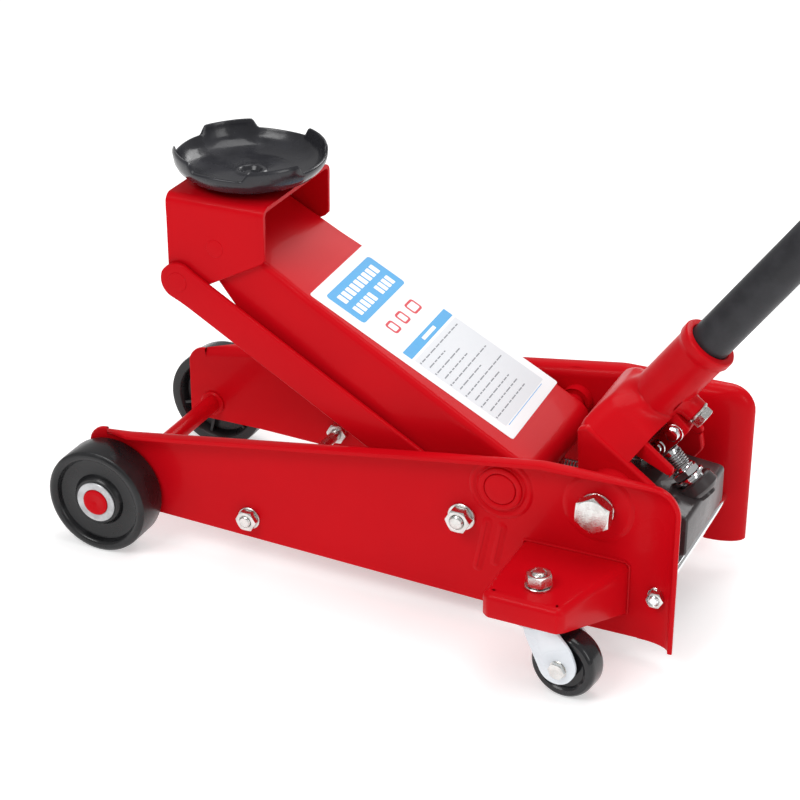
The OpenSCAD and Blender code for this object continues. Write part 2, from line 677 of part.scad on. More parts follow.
// two links hang from the socket's lug and carry the roller's pin
module roller_bracket() color(zinc) {
  both_sides() difference() {
    slab_y(-12, -9) polygon([
      roller_pos + 7 * across - 6 * along, link_bolt + 8 * across + 4 * along,
      link_bolt - 8 * across + 4 * along, roller_pos - 7 * across - 6 * along
    ]);
    bar_y(roller_pos, 4, -20, 20);
    bar_y(link_bolt, 3, -20, 20);
  }
  bar_y(roller_pos, 4, -14, 14);
  bar_y(link_bolt, 3, -16, 16);
}
module pump_roller() color(black) ring_y(roller_pos, roller_r, 4 + run, -8.4, 8.4);

// ---- handle ----
joint_t = 600;
button_t = 575;
tube_wall = 1.8;
stub_r = 6;
module handle_lower() color(black) {
  difference() {
    handle_bar(tube_r, handle_low_t, joint_t);
    handle_bar(tube_r - tube_wall, handle_low_t + 5, joint_t + 1);
    on_handle() translate([button_t, 0, 0]) cylinder(h = 40, r = 4 + gap);
  }
  handle_bar(stub_r, handle_low_t - 30, handle_low_t + 1);
}
spigot_r = tube_r - tube_wall - gap;
module handle_upper() color(black) difference() {
  union() {
    handle_bar(tube_r, joint_t + gap, handle_len - 2);
    handle_bar(spigot_r, joint_t - 55, joint_t + 1);
  }
  handle_bar(spigot_r - tube_wall, joint_t - 56, joint_t + 20);
  handle_bar(tube_r - tube_wall, joint_t + 19, handle_len - 4);
  on_handle() translate([button_t, 0, 0]) cylinder(h = 40, r = 4 + gap);
}
module snap_button() color(zinc) on_handle() translate([button_t, 0, spigot_r - 4]) cylinder(h = 7.5, r = 4);
module handle_grip() color(black) difference() {
  handle_bar(grip_r, handle_len - 135, handle_len);
  handle_bar(tube_r + gap, handle_len - 136, handle_len - 2 + gap);
}
// wound coupling between the handle's stub and the release valve's spindle
module release_coupling() color(steel) difference() {
  handle_bar(stub_r + 3, -16, handle_low_t - 16);
  handle_bar(stub_r + gap, -17, handle_low_t - 15);
}

placed() side_plate_left();
placed() side_plate_right();
placed() front_axle();
placed() wheel_washers();
placed() arm_pivot_shaft();
placed() tie_rod();
placed() frame_rod_nuts();
placed() rod_pivot_bolts();
placed() rod_pivot_nuts();
placed() rod_pivot_spacers();
placed() caster_bracket_left();
placed() caster_bracket_right();
placed() caster_stems();
placed() caster_nuts();
placed() caster_bearings();
placed() power_unit();
placed() ram_cylinder();
placed() cylinder_gland();
placed() pump_barrel();
placed() pump_gland_nut();
placed() plunger_spring();
placed() valve_body();
placed() filler_plug();
placed() unit_mounts();
placed() rear_cross_rod();
placed() socket_pivot_bolts();
placed() front_wheel_left();
placed() front_wheel_right();
placed() caster_fork_left();
placed() caster_fork_right();
placed() caster_axle_left();
placed() caster_axle_right();
placed() caster_wheel_left();
placed() caster_wheel_right();
placed() lift_arm();
placed() arm_pivot_tube();
placed() crank_ears();
placed() crank_pin();
placed() bracket_pin();
placed() arm_label();
placed() saddle_bracket();
placed() rod_front_pins();
placed() radius_rod_left();
placed() radius_rod_right();
placed() saddle();
placed() saddle_clip();
placed() ram_rod();
placed() ram_head();
placed() return_springs();
placed() handle_socket();
placed() retaining_bolt();
placed() roller_bracket();
placed() pump_roller();
placed() pump_plunger();
placed() handle_lower();
placed() handle_upper();
placed() snap_button();
placed() handle_grip();
placed() valve_spindle();
placed() release_coupling();
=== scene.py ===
"""Hydraulic trolley jack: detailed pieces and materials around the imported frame."""
import math
import random

import bmesh
import bpy
import numpy as np
from mathutils import Matrix, Vector
from mathutils.geometry import tessellate_polygon

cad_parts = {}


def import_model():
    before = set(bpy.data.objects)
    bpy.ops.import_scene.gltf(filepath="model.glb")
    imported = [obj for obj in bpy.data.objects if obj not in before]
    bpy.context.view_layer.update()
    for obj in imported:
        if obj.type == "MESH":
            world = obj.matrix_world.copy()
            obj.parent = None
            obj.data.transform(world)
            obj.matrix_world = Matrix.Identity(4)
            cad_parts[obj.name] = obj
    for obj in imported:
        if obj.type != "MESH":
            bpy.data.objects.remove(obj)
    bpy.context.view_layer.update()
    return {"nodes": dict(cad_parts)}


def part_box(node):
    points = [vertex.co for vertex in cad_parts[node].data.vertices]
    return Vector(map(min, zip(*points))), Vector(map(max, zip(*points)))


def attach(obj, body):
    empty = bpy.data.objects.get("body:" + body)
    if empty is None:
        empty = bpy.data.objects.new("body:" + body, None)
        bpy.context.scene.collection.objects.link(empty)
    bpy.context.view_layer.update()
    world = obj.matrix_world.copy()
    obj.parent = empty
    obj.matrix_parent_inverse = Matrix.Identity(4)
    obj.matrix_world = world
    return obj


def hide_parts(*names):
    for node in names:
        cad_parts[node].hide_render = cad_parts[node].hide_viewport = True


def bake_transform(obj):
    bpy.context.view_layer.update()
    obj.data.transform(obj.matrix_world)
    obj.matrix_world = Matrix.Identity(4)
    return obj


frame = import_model()

# Pieces are drawn in millimetres with x = 0 at the front axle, the side plates at -y and +y and
# z = 0 on the floor, like the CAD source. axle_x is where the front axle lies in the frame.
axle_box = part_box("front_axle")
axle_x = (axle_box[0][0] + axle_box[1][0]) / 2

PLATE_OUT = 90.1
PLATE_T = 4.0
PLATE_IN = PLATE_OUT - PLATE_T
FRAME_REAR = 518.0
ARM_ANGLE = math.radians(28.7)
ARM_PIVOT = (364.0, 129.8)
ARM_LEN = 310.0
ROD_PIVOT = (ARM_PIVOT[0] - 33.6, ARM_PIVOT[1] - 34)
BRACKET_PIVOT = (ARM_PIVOT[0] - ARM_LEN * math.cos(ARM_ANGLE), ARM_PIVOT[1] + ARM_LEN * math.sin(ARM_ANGLE))
ROD_FRONT = (BRACKET_PIVOT[0] - 33.6, BRACKET_PIVOT[1] - 34)
HANDLE_ANGLE = math.radians(53.8)
ALONG = (math.cos(HANDLE_ANGLE), math.sin(HANDLE_ANGLE))
ACROSS = (-math.sin(HANDLE_ANGLE), math.cos(HANDLE_ANGLE))
SOCKET_PIVOT = (447.0, 131.5)
AXIS_FOOT = (SOCKET_PIVOT[0] + 24 * ACROSS[0], SOCKET_PIVOT[1] + 24 * ACROSS[1])
ROLLER_POS = (SOCKET_PIVOT[0] + 21, SOCKET_PIVOT[1] + 20)
PLUNGER_TILT = math.atan2(20, 21)
AXLE_POS = (0.0, 48.0)
WHEEL_FACE = 125.2
TIE_POS = (132.7, 46.7)
CROSS_POS = (499.5, 63.0)
STEM_POS = (422.0, -152.0)
CASTER_TURN = math.radians(8)
CASTER_TRAIL = 28.0
RAM_Z = 81.6
SADDLE_X = 95.0


# ---------------------------------------------------------------- geometry helpers
def unit(v):
    v = np.asarray(v, float)
    return v / np.linalg.norm(v)


def corner_arc(corners, i, steps):
    """The points of the arc that rounds corner i of [x, y, radius] corners."""
    a, b, c = (np.array(corners[(i + k) % len(corners)][:2], float) for k in (-1, 0, 1))
    r = corners[i][2]
    u, v = unit(a - b), unit(c - b)
    half = math.acos(max(-1.0, min(1.0, float(u @ v)))) / 2
    centre = b + unit(u + v) * (r / math.sin(half))
    p = b + u * (r / math.tan(half)) - centre
    q = b + v * (r / math.tan(half)) - centre
    a0 = math.atan2(p[1], p[0])
    sweep = (math.atan2(q[1], q[0]) - a0 + 3 * math.pi) % (2 * math.pi) - math.pi
    angles = (a0 + sweep * k / steps for k in range(steps + 1))
    return [centre + r * np.array([math.cos(t), math.sin(t)]) for t in angles]


def rounded(corners, steps=8):
    """The closed 2D outline through [x, y, radius] corners."""
    out = []
    for i, corner in enumerate(corners):
        out += corner_arc(corners, i, steps) if corner[2] > 0 else [np.array(corner[:2], float)]
    return np.array(out)


def ring(cx, cy, r, n=48, start=0.0):
    t = start + np.arange(n) * 2 * math.pi / n
    return np.stack([cx + r * np.cos(t), cy + r * np.sin(t)], 1)


def area(loop):
    x, y = loop[:, 0], loop[:, 1]
    return 0.5 * float(np.sum(x * np.roll(y, -1) - np.roll(x, -1) * y))


def inset(loop, d):
    """The closed loop moved inwards by d (outwards where d is negative)."""
    loop = np.asarray(loop, float)
    keep = np.linalg.norm(loop - np.roll(loop, 1, 0), axis=1) > 1e-6
    loop = loop[keep]
    e = np.roll(loop, -1, 0) - loop
    e /= np.linalg.norm(e, axis=1)[:, None]
    normal = np.stack([-e[:, 1], e[:, 0]], 1) * (1 if area(loop) > 0 else -1)
    m = normal + np.roll(normal, 1, 0)
    m /= np.maximum(np.linalg.norm(m, axis=1), 1e-9)[:, None]
    cos = np.maximum(np.sum(m * normal, 1), 0.35)
    return loop + m * (d / cos)[:, None]


class Build:
    """Gathers points and faces in millimetres."""

    def __init__(self):
        self.v = []
        self.f = []

    def add(self, points, faces):
        base = sum(len(p) for p in self.v)
        self.v.append(np.asarray(points, float))
        self.f += [tuple(base + i for i in face) for face in faces]
        return self

    def grid(self, rows, close_u=False, close_v=False):
        """Quads between rows, an array of rows x columns x 3."""
        rows = np.asarray(rows, float)
        nr, nc = rows.shape[:2]
        faces = []
        for i in range(nr if close_v else nr - 1):
            for j in range(nc if close_u else nc - 1):
                i1, j1 = (i + 1) % nr, (j + 1) % nc
                faces.append((i * nc + j, i * nc + j1, i1 * nc + j1, i1 * nc + j))
        return self.add(rows.reshape(-1, 3), faces)

    def fill(self, loops, lift):
        """A flat face bounded by loops of 2D points; lift puts a 2D point into space."""
        polys = [[Vector((p[0], p[1], 0)) for p in loop] for loop in loops]
        flat = np.concatenate([np.asarray(loop, float) for loop in loops])
        return self.add([lift(p) for p in flat], [tuple(t) for t in tessellate_polygon(polys)])

    def join(self, other, fn=None):
        pts = np.concatenate(other.v)
        if fn is not None:
            pts = np.array([fn(p) for p in pts])
        return self.add(pts, other.f)

    def points(self):
        return np.concatenate(self.v)

    def map(self, fn):
        self.v = [np.array([fn(p) for p in self.points()])]
        return self


def solid(loop, holes, h0, h1, edge=0.6, steps=3):
    """A plate of the 2D loop from height h0 to h1 with rounded edges: points are (x, y, height)."""
    quarter = [math.pi / 2 * k / steps for k in range(steps + 1)]
    profile = [(edge * (1 - math.sin(t)), h0 + edge * (1 - math.cos(t))) for t in quarter]
    profile += [(edge * (1 - math.cos(t)), h1 - edge * (1 - math.sin(t))) for t in quarter]
    b = Build()
    low, high = [], []
    for i, line in enumerate([loop] + list(holes)):
        inwards = -1 if i else 1
        rows = np.array([[(*q, h) for q in inset(line, d * inwards)] for d, h in profile])
        b.grid(rows, close_u=True)
        low.append(rows[0][:, :2])
        high.append(rows[-1][:, :2])
    b.fill(low, lambda p: (p[0], p[1], h0))
    return b.fill(high, lambda p: (p[0], p[1], h1))


def lathe(profile, n=64):
    """The (radius, height) profile turned about z."""
    rows = [[(r * math.cos(t), r * math.sin(t), h) for r, h in profile]
            for t in (2 * math.pi * k / n for k in range(n))]
    return Build().grid(rows, close_v=True)


def tube(path, radius, n=8):
    """A round bar along the path."""
    path = np.asarray(path, float)
    tangent = np.gradient(path, axis=0)
    tangent /= np.linalg.norm(tangent, axis=1)[:, None]
    side = np.cross(tangent[0], (0, 0, 1))
    if np.linalg.norm(side) < 1e-3:
        side = np.cross(tangent[0], (0, 1, 0))
    side = unit(side)
    rows = []
    for p, t in zip(path, tangent):
        side = unit(side - t * float(side @ t))
        other = np.cross(t, side)
        rows.append([p + radius * (math.cos(a) * side + math.sin(a) * other)
                     for a in np.arange(n) * 2 * math.pi / n])
    b = Build().grid(rows, close_u=True)
    for row in (rows[0], rows[-1]):
        b.add(row, [tuple(range(n))])
    return b


def coil(length, radius, wire, turns, steps):
    """A helical spring along z from 0 to length, the turn at each end closed up."""
    climb = (length - wire * 4) / (turns - 2) - wire * 2 / (turns - 2)
    pts = []
    for i in range(int(turns * steps) + 1):
        k = i / steps
        if k < 1:
            z = wire + k * wire * 2
        elif k > turns - 1:
            z = length - wire - (turns - k) * wire * 2
        else:
            z = wire * 3 + (k - 1) * climb
        pts.append((radius * math.cos(2 * math.pi * k), radius * math.sin(2 * math.pi * k), z))
    return tube(pts, wire)


def aim(origin, axis, spin_ref=(1, 0, 0)):
    """A function that puts local points (z along axis) into the millimetre frame."""
    z = unit(axis)
    x = np.asarray(spin_ref, float) - z * float(np.dot(spin_ref, z))
    if np.linalg.norm(x) < 1e-6:
        x = np.cross((0, 1, 0), z)
    x = unit(x)
    y = np.cross(z, x)
    o = np.asarray(origin, float)
    return lambda p: o + x * p[0] + y * p[1] + z * p[2]


def slanted(pivot, p):
    """(s, y, n) from a pivot, s up along the lift arm's slope."""
    c, s = math.cos(ARM_ANGLE), math.sin(ARM_ANGLE)
    return np.array([pivot[0] - p[0] * c + p[2] * s, p[1], pivot[1] + p[0] * s + p[2] * c])


def on_arm(p):
    return slanted(ARM_PIVOT, p)


def on_rod(p):
    return slanted(ROD_PIVOT, p)


def on_handle(p):
    """(t, y, m) in the handle's axes."""
    return np.array([AXIS_FOOT[0] + p[0] * ALONG[0] + p[2] * ACROSS[0], p[1],
                     AXIS_FOOT[1] + p[0] * ALONG[1] + p[2] * ACROSS[1]])


def along_handle(p):
    """Local z runs up the handle's axis."""
    return on_handle((p[2], p[1], p[0]))


def handle_side(p):
    """(t, m, y outwards on the left) in the handle's axes."""
    return on_handle((p[0], -p[2], p[1]))


def on_plunger(p):
    """Local z runs down the pump plunger, from the roller's centre."""
    s, c = math.sin(PLUNGER_TILT), math.cos(PLUNGER_TILT)
    return np.array([ROLLER_POS[0] + p[0] * c + p[2] * s, p[1], ROLLER_POS[1] + p[0] * s - p[2] * c])


def on_caster(p):
    """(x, y, z) about the left caster's swivel axis, x towards its wheel."""
    c, s = math.cos(CASTER_TURN), math.sin(CASTER_TURN)
    return np.array([STEM_POS[0] + p[0] * c + p[1] * s, STEM_POS[1] - p[0] * s + p[1] * c, p[2]])


def world(p):
    """A point in mm as a point of the row's frame."""
    return (p[0] / 1000 + axle_x, p[1] / 1000, p[2] / 1000)


def cleaned(mesh):
    """The mesh ready to edit: its seams welded, slivers gone and normals outwards."""
    bm = bmesh.new()
    bm.from_mesh(mesh)
    bmesh.ops.remove_doubles(bm, verts=bm.verts, dist=1e-6)
    bmesh.ops.dissolve_degenerate(bm, edges=bm.edges, dist=1e-7)
    bmesh.ops.recalc_face_normals(bm, faces=bm.faces)
    return bm


def mark_edges(bm, sharp):
    """Smooth shading, with the edges that turn more than the given degrees kept crisp."""
    limit = math.radians(sharp)
    for e in bm.edges:
        if len(e.link_faces) == 2:
            e.smooth = e.calc_face_angle(0) < limit


def piece(name, build, material, body, replaces=(), sharp=32, both=False, mirrored=False):
    """Makes one object from a build, parents it to its body and hides the CAD parts it stands for."""
    pts = build.points()
    faces = list(build.f)
    if both:
        n = len(pts)
        pts = np.concatenate([pts, pts * [1, -1, 1]])
        faces += [tuple(n + i for i in reversed(face)) for face in build.f]
    if mirrored:
        pts = pts * [1, -1, 1]
        faces = [tuple(reversed(face)) for face in faces]
    mesh = bpy.data.meshes.new(name)
    mesh.from_pydata([world(p) for p in pts], [], faces)
    bm = cleaned(mesh)
    for f in bm.faces:
        f.smooth = True
    mark_edges(bm, sharp)
    bm.to_mesh(mesh)
    bm.free()
    obj = bpy.data.objects.new(name, mesh)
    bpy.context.scene.collection.objects.link(obj)
    mesh.materials.append(material)
    if body:
        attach(obj, body)
    if replaces:
        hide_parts(*([replaces] if isinstance(replaces, str) else replaces))
    return obj


def pair(name, build, material, body, node, sharp=32):
    """A left piece and its mirror image; a * in a name stands for the side."""
    for side in ("left", "right"):
        names = [text.replace("*", side) for text in (name, body, node)]
        piece(names[0], build, material, names[1], names[2], sharp=sharp, mirrored=side == "right")


def carve(obj, build):
    """Cuts a closed shape out of a piece."""
    cutter_mesh = bpy.data.meshes.new("cutter")
    cutter_mesh.from_pydata([world(p) for p in build.points()], [], list(build.f))
    bm = cleaned(cutter_mesh)
    bm.to_mesh(cutter_mesh)
    bm.free()
    cutter = bpy.data.objects.new("cutter", cutter_mesh)
    bpy.context.scene.collection.objects.link(cutter)
    cut = obj.modifiers.new("bore", "BOOLEAN")
    cut.operation = "DIFFERENCE"
    cut.solver = "EXACT"
    cut.object = cutter
    bpy.context.view_layer.update()
    solved = obj.evaluated_get(bpy.context.evaluated_depsgraph_get())
    result = bpy.data.meshes.new_from_object(solved)
    obj.modifiers.clear()
    bm = bmesh.new()
    bm.from_mesh(result)
    mark_edges(bm, 20)
    bm.to_mesh(result)
    bm.free()
    obj.data = result
    bpy.data.objects.remove(cutter)
    bpy.data.meshes.remove(cutter_mesh)


# ---------------------------------------------------------------- materials
def material(name, color, tint, tint_scale, tint_amount, rough, rough_spread=0.08, metal=0.0, coat=0.0,
             coat_rough=0.08, specular=0.5, sheen=0.0, grain=None):
    """A procedural surface: clouds of a second tone, uneven roughness and a fine (strength, scale) grain."""
    m = bpy.data.materials.new(name)
    m.use_nodes = True
    nodes, links = m.node_tree.nodes, m.node_tree.links
    shader = nodes["Principled BSDF"]
    shader.inputs["Metallic"].default_value = metal
    shader.inputs["Coat Weight"].default_value = coat
    shader.inputs["Coat Roughness"].default_value = coat_rough
    shader.inputs["Specular IOR Level"].default_value = specular
    shader.inputs["Sheen Weight"].default_value = sheen
    coords = nodes.new("ShaderNodeTexCoord")

    def noise(scale, detail):
        node = nodes.new("ShaderNodeTexNoise")
        node.inputs["Scale"].default_value = scale
        node.inputs["Detail"].default_value = detail
        links.new(coords.outputs["Object"], node.inputs["Vector"])
        return node.outputs["Fac"]

    def spread(low, high, to_low, to_high):
        node = nodes.new("ShaderNodeMapRange")
        node.interpolation_type = "SMOOTHSTEP"
        for key, value in (("From Min", low), ("From Max", high), ("To Min", to_low), ("To Max", to_high)):
            node.inputs[key].default_value = value
        links.new(clouds, node.inputs["Value"])
        return node.outputs["Result"]

    clouds = noise(tint_scale, 5)
    blend = nodes.new("ShaderNodeMix")
    blend.data_type = "RGBA"
    blend.inputs["A"].default_value = (*color, 1)
    blend.inputs["B"].default_value = (*tint, 1)
    links.new(spread(0.35, 0.7, 0.0, tint_amount), blend.inputs["Factor"])
    links.new(blend.outputs["Result"], shader.inputs["Base Color"])
    rough_out = spread(0.3, 0.7, max(0.02, rough - rough_spread), rough + rough_spread)
    links.new(rough_out, shader.inputs["Roughness"])
    if grain:
        relief = nodes.new("ShaderNodeBump")
        relief.inputs["Strength"].default_value = grain[0]
        relief.inputs["Distance"].default_value = 0.001
        links.new(noise(grain[1], 3), relief.inputs["Height"])
        links.new(relief.outputs["Normal"], shader.inputs["Normal"])
    return m


RED = material("red_enamel", (0.58, 0.003, 0.008), (0.50, 0.002, 0.007), 9, 0.5, 0.3, rough_spread=0.03,
               coat=0.04, coat_rough=0.06, specular=0.05, grain=(0.02, 160))
RED_CAST = material("red_cast_enamel", (0.58, 0.003, 0.008), (0.46, 0.002, 0.006), 25, 0.5, 0.34,
                    rough_spread=0.05, coat=0.04, coat_rough=0.1, specular=0.08, grain=(0.18, 110))
ZINC = material("zinc_plate", (0.74, 0.74, 0.72), (0.58, 0.57, 0.55), 160, 0.6, 0.24, metal=1.0,
                grain=(0.12, 900))
CHROME = material("chrome", (0.86, 0.87, 0.88), (0.7, 0.71, 0.73), 60, 0.4, 0.08, rough_spread=0.04,
                  metal=1.0, grain=(0.03, 500))
STEEL = material("ground_steel", (0.50, 0.50, 0.50), (0.32, 0.31, 0.30), 60, 0.7, 0.34, metal=1.0,
                 grain=(0.15, 700))
SPRING = material("spring_steel", (0.36, 0.36, 0.37), (0.2, 0.19, 0.18), 90, 0.7, 0.36, metal=1.0)
BLACK = material("black_enamel", (0.032, 0.026, 0.027), (0.056, 0.046, 0.047), 30, 0.5, 0.3, coat=0.15,
                 specular=0.35, grain=(0.12, 180))
TUBE_BLACK = material("black_powder", (0.018, 0.018, 0.021), (0.035, 0.035, 0.04), 60, 0.6, 0.42, coat=0.05,
                      specular=0.3, grain=(0.16, 900))
WHEEL = material("moulded_black", (0.008, 0.008, 0.009), (0.022, 0.022, 0.024), 40, 0.5, 0.3, coat=0.1,
                 coat_rough=0.15, specular=0.35, grain=(0.1, 420))
CASTER_BLACK = material("caster_nylon", (0.007, 0.007, 0.008), (0.022, 0.022, 0.026), 50, 0.4, 0.2, coat=0.2,
                        specular=0.35, grain=(0.06, 300))
WHITE = material("white_enamel", (0.80, 0.84, 0.88), (0.55, 0.6, 0.66), 40, 0.4, 0.25, coat=0.5,
                 grain=(0.06, 300))
SADDLE_BLACK = material("pressed_black", (0.018, 0.018, 0.022), (0.03, 0.03, 0.036), 45, 0.6, 0.24, coat=0.2,
                        coat_rough=0.1, specular=0.35, grain=(0.3, 90))
RUBBER = material("grip_rubber", (0.02, 0.02, 0.021), (0.045, 0.045, 0.046), 80, 0.5, 0.62, sheen=0.1,
                  grain=(0.4, 600))
WASHER = material("grey_washer", (0.55, 0.56, 0.57), (0.38, 0.38, 0.39), 140, 0.7, 0.4, metal=0.6,
                  grain=(0.1, 800))


def ink(name, color, tint, tint_scale, tint_amount):
    """A printed surface of the label."""
    return material(name, color, tint, tint_scale, tint_amount, 0.35, rough_spread=0.05, specular=0.15)


PAPER = ink("label_film", (0.88, 0.88, 0.89), (0.84, 0.84, 0.86), 20, 0.4)
INK_BLUE = ink("label_blue", (0.07, 0.36, 0.70), (0.10, 0.42, 0.76), 60, 0.5)
INK_RED = ink("label_red", (0.62, 0.03, 0.05), (0.7, 0.1, 0.1), 80, 0.4)
INK_GREY = ink("label_grey", (0.22, 0.23, 0.25), (0.3, 0.31, 0.33), 80, 0.5)
INK_PALE = ink("label_pale", (0.70, 0.72, 0.75), (0.74, 0.76, 0.79), 80, 0.5)


# ---------------------------------------------------------------- hardware
def hex_body(af, h0, h1, bore=0.0, spin=0.0):
    """A hexagon whose corners are turned off in a cone at both ends, as on real nuts and heads."""
    corner_r, face_r, per_side = af / math.sqrt(3), af / 2 * 0.97, 8
    base = []
    for k in range(6):
        p, q = (corner_r * np.array([math.cos(spin + a), math.sin(spin + a)])
                for a in (k * math.pi / 3, (k + 1) * math.pi / 3))
        base += [p + (q - p) * i / per_side for i in range(per_side)]
    base = np.array(base)
    radii = np.linalg.norm(base, axis=1)
    drop = (radii - face_r) * 0.55
    spoke = base / radii[:, None]
    faces = [(spoke * (face_r - 0.4), h0), (spoke * face_r, h0 + 0.08), (base, h0 + 0.1 + drop),
             (base, h1 - 0.1 - drop), (spoke * face_r, h1 - 0.08), (spoke * (face_r - 0.4), h1)]
    if bore:
        faces = [(spoke * bore, h0 + 0.6), (spoke * (bore + 0.8), h0)] + faces
        faces += [(spoke * (bore + 0.8), h1), (spoke * bore, h1 - 0.6)]
    else:
        faces = [(spoke * 0.01, h0)] + faces + [(spoke * 0.01, h1)]
    rows = [np.column_stack([xy, np.broadcast_to(z, len(xy))]) for xy, z in faces]
    return Build().grid(rows, close_u=True, close_v=bool(bore))


def washer(r0, r1, h0, h1, n=48):
    e = min(0.35, (h1 - h0) * 0.35)
    return lathe([(r0, h0 + e), (r0 + e, h0), (r1 - e, h0), (r1, h0 + e), (r1, h1 - e), (r1 - e, h1),
                  (r0 + e, h1), (r0, h1 - e), (r0, h0 + e)], n)


def split_washer(r0, r1, h0, h1):
    """A spring washer: one flat turn, its ends apart by a slanted gap."""
    e, n = 0.3, 48
    section = ((r0, h0 + e), (r0 + e, h0), (r1 - e, h0), (r1, h0 + e), (r1, h1 - e), (r1 - e, h1),
               (r0 + e, h1), (r0, h1 - e))
    rows = []
    for k in range(n + 1):
        t = 0.09 + (2 * math.pi - 0.18) * k / n
        rise = 0.5 * (k / n - 0.5)
        rows.append([(r * math.cos(t), r * math.sin(t), h + rise) for r, h in section])
    b = Build().grid(rows, close_u=True)
    for row in (rows[0], rows[-1]):
        b.add(row, [tuple(range(len(section)))])
    return b


def thread(r, h0, h1, pitch, n=28):
    """A threaded end: ridges along a bar, its end chamfered."""
    depth = pitch * 0.38
    steps = max(1, int((h1 - h0) / pitch)) * 4 + 1
    rows = []
    for i in range(steps):
        z = h0 + (h1 - h0) * i / (steps - 1)
        chamfer = (1 - min(1.0, (h1 - z) / pitch)) * pitch * 0.5
        row = []
        for k in range(n):
            t = 2 * math.pi * k / n
            ridge = abs((z / pitch - k / n) % 1.0 - 0.5) * 2
            out = r - depth * ridge - chamfer
            row.append((out * math.cos(t), out * math.sin(t), z))
        rows.append(row)
    b = Build().grid(rows, close_u=True)
    return b.add([(0.985 * p[0], 0.985 * p[1], p[2] + 0.05) for p in rows[-1]], [tuple(range(n))])


def dome(r, h0, rise, n=32, steps=6):
    return lathe([(r * math.cos(math.pi / 2 * i / steps) + (0.01 if i == steps else 0),
                   h0 + rise * math.sin(math.pi / 2 * i / steps)) for i in range(steps + 1)], n)


def left_side(pos, y):
    """Local z points outwards on the left, from the (x, z) position at depth y."""
    return aim((pos[0], y, pos[1]), (0, -1, 0), (1, 0, 0))


def stack(place, *parts):
    """The parts gathered into one build and put in place."""
    b = Build()
    for part in parts:
        b.join(part, place)
    return b


# ---------------------------------------------------------------- side plates
def open_path(corners, steps=8, cuts=1):
    """A rounded open path through [x, z, radius] corners, each straight run cut into equal parts."""
    pts = []
    arcs = [corner_arc(corners, i, steps) for i in range(1, len(corners) - 1)]
    last = np.array(corners[0][:2], float)
    for arc in arcs + [[np.array(corners[-1][:2], float)]]:
        pts += [last + (arc[0] - last) * k / cuts for k in range(cuts)]
        pts += arc[:-1]
        last = arc[-1]
    pts.append(last)
    return np.array(pts)


FLANGE = 12.7
TOP_OUTER = [[-6.6, 103, 0], [316, 152.5, 60], [401, 164.8, 60], [FRAME_REAR, 164.8, 22],
             [FRAME_REAR, 19.5, 0]]
TOP_INNER = [[-5.0, 91.1, 0], [317.7, 140.6, 62], [402.4, 152.8, 62], [485.0, 152.8, 10], [485.0, 19.5, 0]]
SEATS = [
    # x, z, hole radius, [(radius, height) rings from the outside in]
    (ARM_PIVOT[0], ARM_PIVOT[1], 13.6, [(28.4, -0.2), (27.4, 0.2), (26.4, 0.9), (25.2, 1.3), (23.8, 1.2),
                                         (22.6, 0.5), (21.6, 0.2), (20.8, 0.6), (20.2, 1.2)]),
    (SOCKET_PIVOT[0], SOCKET_PIVOT[1], 8.1, [(31, -0.2), (29.8, 0.2), (28.4, 1.1), (26.8, 1.7), (25, 1.8)]),
]
PLAIN_HOLES = [(ROD_PIVOT[0], ROD_PIVOT[1], 6.1), (TIE_POS[0], TIE_POS[1], 5.1), (*AXLE_POS, 11.9)]
RIBS = [(345, 52, 353, 96, 2.2), (360, 60, 366, 94, 2.0)]


